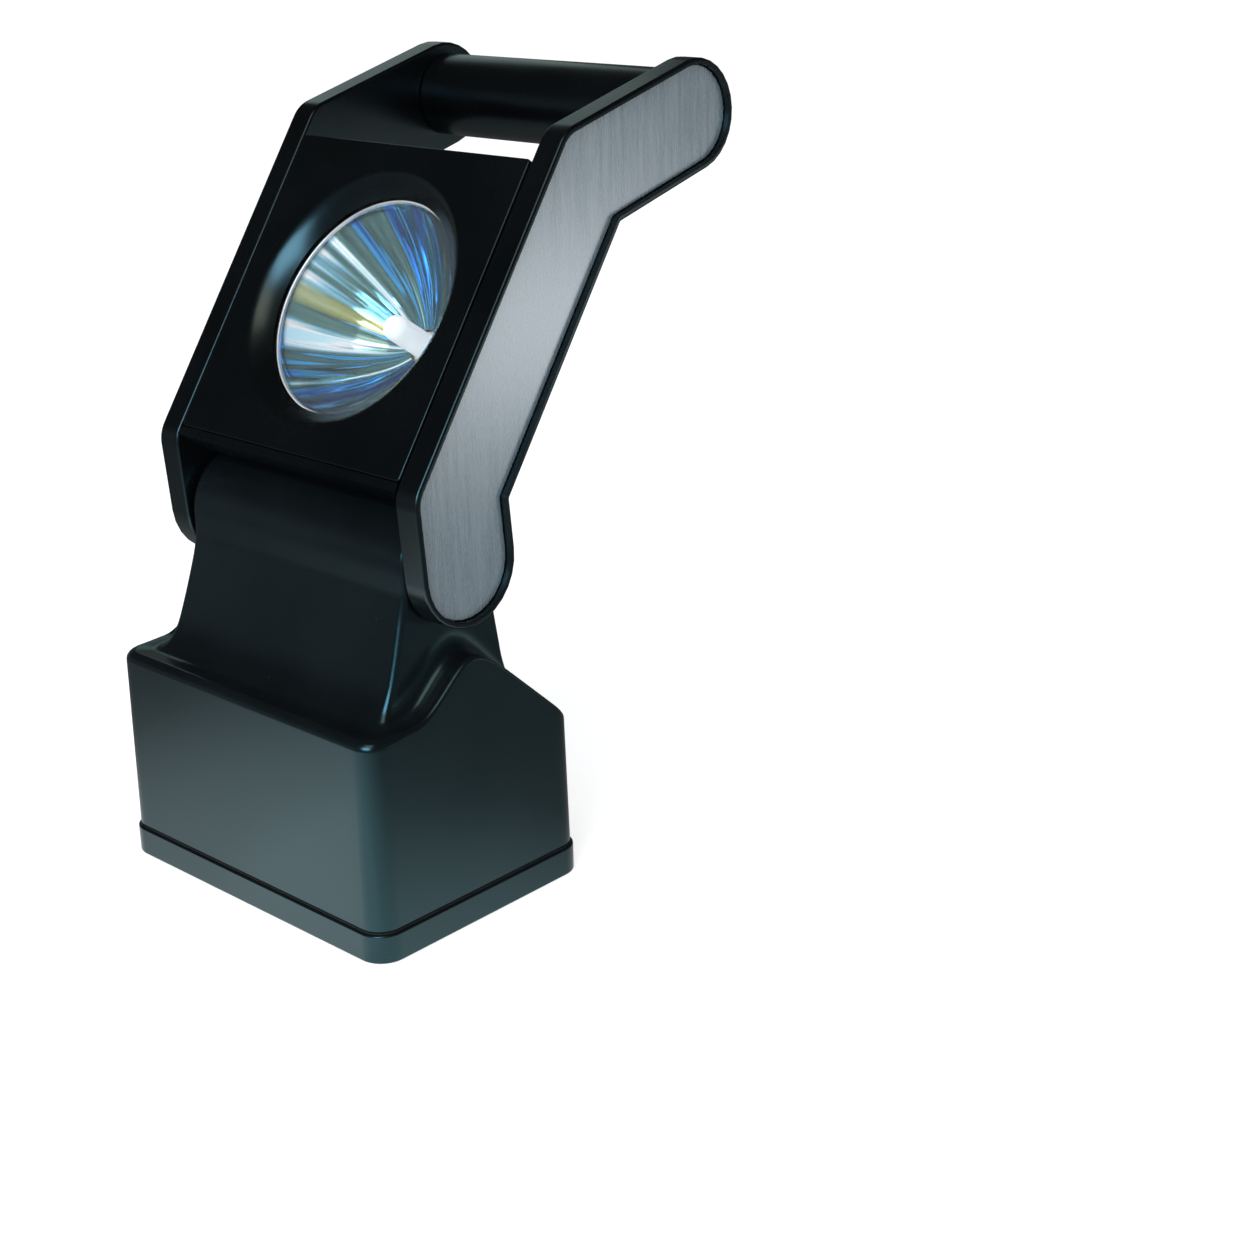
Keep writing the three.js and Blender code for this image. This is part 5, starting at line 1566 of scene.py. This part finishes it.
@dataclass
class Shell:
    """Housing, front panel, rear cover with its screws, and rear cap."""

    head: Head
    gap: float = 0.3
    wall: float = 3.0
    barrel: float = 21.6
    sill: float = 3.2
    housing_edge: float = 0.35
    boss: float = 5.5
    boss_length: float = 9.0
    boss_bore: float = 2.3
    boss_bore_length: float = 11.0
    post: float = 4.0
    post_length: float = 13.0
    post_bore: float = 1.7
    post_bore_length: float = 12.0
    lead_hole: float = 6.0
    lead_y: float = -8.0
    lead_ends: Point2 = (10.0, 27.0)
    panel: float = 4.0
    panel_edge: float = 0.6
    panel_corner: float = 1.6
    cove: float = 47.6
    aperture: float = 40.0
    cove_depth: float = 6.0
    cove_power: float = 1.5
    lens: float = 43.0
    collar: float = 49.0
    collar_depth: float = 10.4
    cover: float = 3.0
    cover_foot: float = 23.5
    cover_corner: float = 2.5
    cover_edge: float = 0.8
    switch_hole: float = 6.8
    screw: Screw = Screw(2.9, 1.8, 1.4, 10.2)
    screw_seat: float = 3.2
    screw_seat_depth: float = 2.1
    screw_side: float = 7.3
    screw_end: float = 7.0
    cap: float = 33.4
    cap_flange: float = 36.4
    cap_wall: float = 2.4
    cap_top: float = 19.5

    def side_outline(
        self, radius: float, foot: float, front: float, rear: float, top: float
    ) -> list[Point2]:
        """Side outline of the housing, hollowed round the neck's barrel.

        Args:
            radius: of the hollow.
            foot: height of its front foot.
            front: its front face.
            rear: its rear face.
            top: its top.

        Returns:
            The points in y and z.
        """
        meet = math.pi - math.asin(foot / radius)
        hollow = arc((0, 0), radius, meet, math.acos(rear / radius), 24)
        return [(front, foot)] + hollow + [(rear, top), (front, top)]

    def housing(self) -> Thing:
        """Builds the housing."""
        head = self.head
        half, room_half = head.half, head.half - self.wall
        front = self.panel + self.gap - head.front
        rear = head.rear - self.cover - self.gap
        foot = head.panel_foot - self.gap - self.sill
        sill_top = foot + self.sill
        block = self.side_outline(self.barrel, foot, front, rear, head.top)
        inside = self.side_outline(
            self.barrel + self.wall, sill_top + self.wall, front - 2, rear + 2, head.top - self.wall
        )
        sill_back = front + 2
        sill = [(-head.front, foot), (sill_back, foot), (sill_back, sill_top)]
        sill.append((-head.front, sill_top))
        housing = head.stand(prism(block, Axis.X, -half, half), "housing")
        head.combine(housing, [prism(sill, Axis.X, -half, half)], Join.ADD)
        head.combine(housing, [prism(inside, Axis.X, -room_half, room_half)], Join.CUT)
        head.combine(housing, self.bosses(rear), Join.ADD)
        head.combine(housing, self.boss_holes(rear), Join.CUT)
        soften(housing, self.housing_edge, 2, 50.0)
        return housing

    def rear_places(self) -> list[Point2]:
        """Centres of the rear cover's screws, in x and z."""
        x = self.head.half - self.screw_side
        low, high = self.cover_foot + self.screw_end, self.head.top - self.screw_end
        return [(x, low), (x, high), (-x, high), (-x, low)]

    def side_pegs(self, radius: float, inner: float, outer: float, segments: int) -> list[Solid]:
        """Pegs along x, one at each screw of each side plate.

        Args:
            radius: their radius.
            inner: how far from the middle they start.
            outer: how far from the middle they end.
            segments: segments of a turn.

        Returns:
            The pegs.
        """
        pegs = []
        for sign in (1, -1):
            low, high = sorted((sign * inner, sign * outer))
            for y, z in self.head.plate_screws:
                pegs.append(peg(Axis.X, segments, low, (radius, high)).shifted(0, y, z))
        return pegs

    def bosses(self, rear: float) -> list[Solid]:
        """Bosses that take the side and rear screws.

        Args:
            rear: the housing's rear face.

        Returns:
            The bosses.
        """
        half, size = self.head.half, self.post
        outer = half - self.wall / 2
        solids = self.side_pegs(self.boss, half - self.boss_length, outer, 32)
        for x, z in self.rear_places():
            sign = math.copysign(1, x)
            low, high = sorted((x - sign * size, sign * outer))
            outline = [(low, z - size), (high, z - size), (high, z + size), (low, z + size)]
            solids.append(prism(outline, Axis.Y, rear - self.post_length, rear))
        return solids

    def boss_holes(self, rear: float) -> list[Solid]:
        """Holes in those bosses, and the lead's hole through the hollow underside.

        Args:
            rear: the housing's rear face.

        Returns:
            The holes, as solids to cut with.
        """
        half, start = self.head.half, rear - self.post_bore_length
        solids = self.side_pegs(self.boss_bore, half - self.boss_bore_length, half + 2.0, 24)
        for x, z in self.rear_places():
            solids.append(peg(Axis.Y, 24, start, (self.post_bore, rear + 2)).shifted(x, 0, z))
        low, high = self.lead_ends
        solids.append(peg(Axis.Z, 32, low, (self.lead_hole, high)).shifted(0, self.lead_y, 0))
        return solids

    def front_panel(self) -> Thing:
        """Builds the front panel with the cove that leads in to the lens."""
        head = self.head
        half_x = head.half - self.gap
        half_z = (head.top - head.panel_foot) / 2
        centre = (0.0, head.lens_along)
        face = -head.front
        back = face + self.panel

        def outline(inset: float) -> list[Point2]:
            corner = self.panel_corner - inset
            return rounded_rectangle(half_x - inset, half_z - inset, corner, centre, 6, 22, 22)

        directions = [math.atan2(z - head.lens_along, x) for x, z in outline(0.0)]

        def circle(radius: float, depth: float) -> Ring:
            points = [
                (radius * math.cos(a), head.lens_along + radius * math.sin(a)) for a in directions
            ]
            return flat_ring(points, Axis.Y, face + depth)

        rings = [flat_ring(outline(0.0), Axis.Y, back)]
        for depth, inset in quarter(self.panel_edge, 4):
            rings.append(flat_ring(outline(inset), Axis.Y, face + depth))
        steps = 16
        for share in (i / steps for i in range(steps + 1)):
            radius = self.cove - (self.cove - self.aperture) * share
            rings.append(circle(radius, self.cove_depth * share**self.cove_power))
        rebate = self.lens + self.gap
        rings.append(circle(rebate, self.cove_depth))
        rings.append(circle(rebate, self.collar_depth))
        rings.append(circle(self.collar, self.collar_depth))
        rings.append(circle(self.collar, self.panel))
        return head.stand(Solid().loft(rings, closed=True), "lens_panel")

    def rear_cover(self) -> Thing:
        """Builds the rear cover with the holes for cap, switch and screws."""
        head = self.head
        half_x = head.half - self.gap
        half_z = (head.top - self.cover_foot) / 2
        centre = (0.0, (self.cover_foot + head.top) / 2)

        def outline(inset: float) -> list[Point2]:
            corner = self.cover_corner - inset
            return rounded_rectangle(half_x - inset, half_z - inset, corner, centre, 6)

        def hole(segments: int, start: float, radius: float, x: float, z: float) -> Solid:
            return peg(Axis.Y, segments, start, (radius, head.rear + 2)).shifted(x, 0, z)

        rings = slab_rings(outline, Axis.Y, head.rear - self.cover, head.rear, self.cover_edge, 4)
        cover = head.stand(Solid().loft(rings), "back_cover")
        holes = [hole(96, 0.0, self.cap - self.cap_wall, 0.0, head.lens_along)]
        holes.append(hole(48, 0.0, self.switch_hole, 0.0, head.top - head.switch_drop))
        for x, z in self.rear_places():
            holes.append(hole(24, 0.0, self.post_bore, x, z))
            holes.append(hole(32, head.rear - self.screw_seat_depth, self.screw_seat, x, z))
        head.combine(cover, holes, Join.CUT)
        return cover

    def rear_cap(self) -> Thing:
        """Builds the cap over the back of the reflector."""
        seat = self.head.rear + self.gap
        inner = self.cap - self.cap_wall
        corners = [
            (inner, seat, 0.0),
            (self.cap_flange, seat, 0.3),
            (self.cap_flange, seat + 2.0, 0.7),
            (self.cap, seat + 2.0, 0.8),
            (self.cap, self.cap_top, 4.0),
            (0.0, self.cap_top, 0.0),
            (0.0, self.cap_top - self.cap_wall, 0.0),
            (inner, self.cap_top - self.cap_wall, 2.4),
            (inner, seat, 0.0),
        ]
        cap = Solid().turned(rounded_profile(corners, 6)[:-1], Axis.Y, 96)
        return self.head.on_beam(cap, "back_cap")

    def build(self, shop: Workshop) -> None:
        """Builds the shell.

        Args:
            shop: places the pieces.
        """
        shop.place(self.housing(), Body.HEAD, "head_black", ["head_housing"], 40.0)
        shop.place(self.front_panel(), Body.HEAD, "head_black", ["front_panel"])
        shop.place(self.rear_cover(), Body.HEAD, "head_black", ["rear_cover"], 40.0)
        shop.place(self.rear_cap(), Body.HEAD, "head_black", ["rear_cap"], 40.0)
        for i, (x, z) in enumerate(self.rear_places(), 1):
            solid = self.screw.solid(Axis.Y).shifted(x, self.head.rear, z)
            thing = self.head.stand(solid, f"cover_screw_{i}")
            shop.place(thing, Body.HEAD, "screw_steel", [f"rear_screw_{i}"])


@dataclass
class Optics:
    """Lens, its seal, the reflector, the bulb and its holder."""

    head: Head
    lens_radius: float = 43.0
    lens_front: float = -28.2
    lens_thickness: float = 2.8
    lens_rim: float = 2.6
    bulge: float = 0.5
    seal_inner: float = 40.4
    seal_front: float = -25.1
    seal_back: float = -24.1
    aperture: float = 40.0
    flange: float = 46.0
    flange_front: float = -23.8
    flange_back: float = -21.8
    bowl_depth: float = 30.32
    bowl_power: float = 1.6
    bowl_inset: float = 0.9
    bowl_wall: float = 1.8
    rim_front: float = -25.3
    flute: float = 0.16
    rays: int = 44
    bulb_hole: float = 6.5
    bulb: float = 4.6
    bulb_length: float = 19.0
    bulb_sunk: float = 2.3
    holder: float = 10.0
    holder_length: float = 8.0
    holder_neck: float = 5.9
    holder_sunk: float = 2.0
    holder_gap: float = 0.3

    def lens(self) -> Solid:
        """The lens, slightly bulged to the front."""
        front, back, steps = self.lens_front, self.lens_front + self.lens_thickness, 12
        rim = self.lens_radius - self.lens_rim
        crown = [
            (rim * i / steps, front - self.bulge * (1 - (i / steps) ** 2)) for i in range(steps)
        ]
        corners = [(rim, front, 0.0)]
        corners += [(self.lens_radius, front, 0.3), (self.lens_radius, back, 0.3)]
        corners.append((0.0, back, 0.0))
        return Solid().turned(crown + rounded_profile(corners, 3), Axis.Y, 128)

    def reflector(self) -> Solid:
        """The bowl, with shallow flutes that run out from the bulb."""
        vertex = self.flange_front + self.bowl_depth
        start = self.bowl_depth * (self.bulb_hole / self.aperture) ** 2
        levels, back_levels, segments = 28, 12, self.rays * 8
        turn = [2 * math.pi * k / segments for k in range(segments)]

        def fall(share: float) -> float:
            return start + (self.bowl_depth - start) * share**self.bowl_power

        def circle(radius: float, place: float, flute: float = 0.0) -> Ring:
            ring = []
            for angle in turn:
                r = radius - flute * abs(math.sin(angle * self.rays / 2))
                ring.append(Vector((r * math.cos(angle), place, r * math.sin(angle))))
            return ring

        rings = []
        for i in range(levels + 1):
            distance = fall(i / levels)
            radius = (self.aperture - self.bowl_inset) * math.sqrt(distance / self.bowl_depth)
            flute = self.flute * math.sin(math.pi * i / levels)
            rings.append(circle(radius, vertex - distance, flute))
        rim = self.aperture - 0.1
        edge = [
            (rim - 0.5, self.rim_front + 0.3),
            (rim - 0.2, self.rim_front),
            (rim + 0.2, self.rim_front),
            (rim + 0.3, self.flange_front),
            (self.flange, self.flange_front),
            (self.flange, self.flange_back),
        ]
        rings += [circle(radius, place) for radius, place in edge]
        for i in range(back_levels, -1, -1):
            distance = fall(i / back_levels)
            radius = self.aperture * math.sqrt(distance / self.bowl_depth) + self.bowl_wall
            place = vertex - distance + self.bowl_wall
            rings.append(circle(radius, self.flange_back if i == back_levels else place))
        return Solid().loft(rings, closed=True)

    def bulb_and_holder(self) -> tuple[Solid, Solid]:
        """The bulb, round at its tip, and the holder that it stands in."""
        back = self.flange_front + self.bowl_depth + self.bowl_wall + self.holder_gap
        foot = back - self.bulb_sunk
        tip = foot - self.bulb_length
        crown = tip + self.bulb
        corners = [(0.0, foot, 0.0), (self.bulb, foot, 0.4), (self.bulb, crown, 0.0)]
        bulb = rounded_profile(corners, 3)[:-1]
        bulb += arc((0, crown), self.bulb, 0, -math.pi / 2, 10)[:-1] + [(0.0, tip)]
        sunk, end = back - self.holder_sunk, back + self.holder_length
        holder = [
            (0.0, sunk, 0.0),
            (self.holder_neck, sunk, 0.3),
            (self.holder_neck, back, 0.3),
            (self.holder, back, 0.6),
            (self.holder, end, 0.8),
            (0.0, end, 0.0),
        ]
        return Solid().turned(bulb, Axis.Y, 48), lathe(holder, Axis.Y, 64, 4)

    def build(self, shop: Workshop) -> None:
        """Builds the optics.

        Args:
            shop: places the pieces.
        """
        inner, outer = self.seal_inner, self.lens_radius
        front, back = self.seal_front, self.seal_back
        profile = [(inner, front), (outer, front), (outer, back), (inner, back)]
        seal = Solid().turned(profile, Axis.Y, 96)
        bulb, holder = self.bulb_and_holder()
        for solid, name, slot, node, sharp in (
            (self.lens(), "front_lens", "lens_glass", "lens", 40.0),
            (seal, "lens_gasket", "seal_rubber", "lens_seal", 35.0),
            (self.reflector(), "reflector_bowl", "reflector_mirror", "reflector", 60.0),
            (bulb, "lamp_bulb", "bulb_glass", "bulb", 35.0),
            (holder, "lamp_holder", "ceramic_white", "bulb_holder", 35.0),
        ):
            shop.place(self.head.on_beam(solid, name), Body.HEAD, slot, [node], sharp)


@dataclass
class PushSwitch:
    """The push button on the back of the head and the ring round it."""

    head: Head
    radius: float = 6.5
    proud: float = 3.4
    height: float = 7.0
    hollow: float = 4.3
    hollow_depth: float = 3.5
    dish: float = 3.9
    dish_depth: float = 0.35
    ring_gap: float = 0.3
    ring_outer: float = 2.4
    ring_height: float = 1.9

    def build(self, shop: Workshop) -> None:
        """Builds the button and its ring.

        Args:
            shop: places the pieces.
        """
        head = self.head
        along = head.top - head.switch_drop
        top = head.rear + self.proud
        foot = top - self.height
        button = [
            (0.0, foot + self.hollow_depth, 0.0),
            (self.hollow, foot + self.hollow_depth, 0.0),
            (self.hollow, foot, 0.2),
            (self.radius, foot, 0.2),
            (self.radius, top, 1.1),
            (self.dish + 0.5, top, 0.5),
            (self.dish, top - self.dish_depth, 0.4),
            (0.0, top - self.dish_depth, 0.0),
        ]
        solid = lathe(button, Axis.Y, 64, 4).shifted(0, 0, along)
        thing = head.stand(solid, "button_cap")
        shop.place(thing, Body.BUTTON, "seal_rubber", ["switch_button"])
        inner, outer = self.radius + self.ring_gap, self.radius + self.ring_outer
        low, high = head.rear + self.ring_gap, head.rear + self.ring_height
        ring = [
            (inner, low, 0.0),
            (outer, low, 0.2),
            (outer, high, 0.6),
            (inner, high, 0.5),
            (inner, low + 0.1, 0.0),
        ]
        solid = lathe(ring, Axis.Y, 64, 4).shifted(0, 0, along)
        shop.place(head.stand(solid, "button_ring"), Body.HEAD, "screw_steel", ["switch_ring"])


# Studio


def facing(heading: Vector) -> Matrix:
    """Turn that points a camera or a lamp along a heading."""
    return heading.to_track_quat("-Z", "Y").to_matrix().to_4x4()


@dataclass(frozen=True)
class Window:
    """A square soft lamp, which glossy surfaces mirror, with its places and side in metres."""

    name: str
    place: tuple[float, float, float]
    aim: tuple[float, float, float]
    side: float
    watts: float
    tint: Colour

    def hang(self) -> None:
        """Hangs the lamp and points it at its aim."""
        data = bpy.data.lights.new(self.name, "AREA")
        data.size = self.side
        data.energy = self.watts
        data.color = self.tint
        turn = facing(Vector(self.aim) - Vector(self.place))
        link(self.name, data).matrix_world = Matrix.Translation(self.place) @ turn


@dataclass
class Studio:
    """Floor, light and the camera at the photograph's viewing angle.

    Pools are painted patches of light on the floor, which only glossy rays see, given by their
    middle and, at each distance from it in metres, their brightness.
    """

    azimuth: float = math.radians(42.525)
    elevation: float = math.radians(20.311)
    roll: float = math.radians(-1.077)
    distance: float = 0.61996
    target: tuple[float, float, float] = (0.1329, 0.0, 0.12529)
    focal_pixels: float = 2031.93
    photo_pixels: float = 1233.0
    sensor: float = 36.0
    floor_half: float = 4000.0
    floor_depth: float = 20.0
    floor_pale: tuple[Colour, Colour] = ((0.88, 0.88, 0.88), (0.90, 0.90, 0.90))
    floor_glow: Colour = (0.54, 0.54, 0.54)
    near_middle: tuple[float, float, float] = (0.03, -0.12, 0.0)
    near_painted_pool: Sequence[Point2] = (
        (0.065, 1.35), (0.09, 1.06), (0.13, 0.88), (0.175, 0.58), (0.215, 0.27), (0.30, 0.17),
        (0.42, 0.10),
    )
    far_middle: tuple[float, float, float] = (0.74, 0.76, 0.0)
    far_painted_pool: Sequence[Point2] = ((0.10, 1.5), (0.27, 1.1), (0.38, 0.24), (0.50, 0.0))
    far_tint: Colour = (1.22, 1.06, 1.0)
    sky: Sequence[Point2] = ((0.0, 0.13), (0.14, 0.11), (0.34, 0.025), (1.0, 0.014))
    ambient: Colour = (0.58, 0.60, 0.61)
    windows: Sequence[Window] = (
        Window("key_window", (0.37, -0.77, 0.57), (-0.02, 0.0, 0.19), 0.50, 5.6, (0.62, 0.82, 1.0)),
        Window("rear_window", (-0.70, 0.55, 0.62), (0.0, 0.1, 0.22), 0.40, 0.26, (0.80, 1.0, 0.95)),
        Window("high_window", (0.33, -0.49, 1.03), (0.03, 0.0, 0.09), 0.44, 1.6, (1.0, 0.68, 0.50)),
    )

    def camera(self) -> None:
        """Places the camera."""
        data = bpy.data.cameras.new("camera")
        data.sensor_width = self.sensor
        data.lens = self.sensor * self.focal_pixels / self.photo_pixels
        data.clip_start = 0.01
        level = math.cos(self.elevation)
        ahead, aside = math.cos(self.azimuth) * level, math.sin(self.azimuth) * level
        out = Vector((aside, -ahead, math.sin(self.elevation)))
        camera = link("camera", data)
        place = Matrix.Translation(Vector(self.target) + out * self.distance)
        camera.matrix_world = place @ facing(-out) @ Matrix.Rotation(self.roll, 4, "Z")
        bpy.context.scene.camera = camera

    def painted_pool(
        self, g: Graph, middle: Sequence[float], levels: Sequence[Point2], tint: Colour = WHITE
    ) -> Socket:
        """Round painted patch of light on the floor, seen only in reflections.

        Args:
            g: the floor's graph.
            middle: the patch's middle, in metres.
            levels: distance from the middle, in metres, and brightness there.
            tint: colour of the brightness.

        Returns:
            The colour's socket.
        """
        inputs = {0: g.place(), 1: middle}
        away = g.add("VectorMath", "Value", inputs, operation="DISTANCE")
        return g.ramp(away, [(place, [level * part for part in tint]) for place, level in levels])

    def floor(self) -> None:
        """Lays the pale floor, which shows white and keeps the lamp's shadow."""
        half = self.floor_half
        outline = rounded_rectangle(half, half, half / 2, steps=16)
        floor = prism(outline, Axis.Z, -self.floor_depth, 0.0).to_object("floor")
        g = Graph(bpy.data.materials.new("pale_floor"))
        pale = g.tones(g.noise(g.place(), 6.0), *self.floor_pale)
        # Painted pools of light: only glossy rays see them, so they stand as painted reflections on
        # the lamp.
        near = self.painted_pool(g, self.near_middle, self.near_painted_pool)
        far = self.painted_pool(g, self.far_middle, self.far_painted_pool, self.far_tint)
        mirrored = g.math("MAXIMUM", g.ray(Ray.GLOSSY), g.ray(Ray.GLASS))
        g.feed(
            Base_Color=g.mix(mirrored, pale, BLACK),
            Emission_Color=g.by_ray(BLACK, g.mix(1.0, near, far, "ADD"), WHITE, self.floor_glow),
            Roughness=0.9,
            Specular_IOR_Level=0.1,
            Emission_Strength=1.0,
        )
        floor.data.materials.append(g.owner)

    def world(self) -> None:
        """Lights the scene softly and shows a white background."""
        world = bpy.data.worlds.new("studio")
        bpy.context.scene.world = world
        g = Graph(world, "Background")
        source = g.add("TexCoord", "Generated", {})
        height = g.add("SeparateXYZ", "Z", {"Vector": source})
        sky = g.ramp(height, [(place, (level,) * 3) for place, level in self.sky])
        g.feed(Color=g.by_ray(self.ambient, sky, WHITE, WHITE))

    def build(self) -> None:
        """Sets up the studio."""
        bpy.context.scene.view_settings.view_transform = "Standard"
        self.camera()
        self.floor()
        self.world()
        for window in self.windows:
            window.hang()


def kept_nodes() -> dict[str, str]:
    """Slot of each node of the frame that keeps its own mesh."""
    slots = {row["node"]: row["material_slot"] for row in frame["record"]["subparts"]}
    return {node: slots[node] for node, thing in frame["nodes"].items() if not thing.hide_render}


def main() -> None:
    """Builds the lamp and its studio."""
    logging.basicConfig(level=logging.INFO, format="%(name)s: %(message)s")
    head, band = Head(), BaseBand()
    finishes = Finishes(head.point(0.0, 0.0, head.lens_along), head.lean)
    shop = Workshop(finishes)
    Studio().build()
    for part in (
        Casing(band),
        band,
        SidePlates(head),
        Handle(head),
        Shell(head),
        Optics(head),
        PushSwitch(head),
    ):
        part.build(shop)
    shop.keep(kept_nodes())
    for name in shop.placed:
        log.info("placed %s", name)


if __name__ == "__main__":
    main()
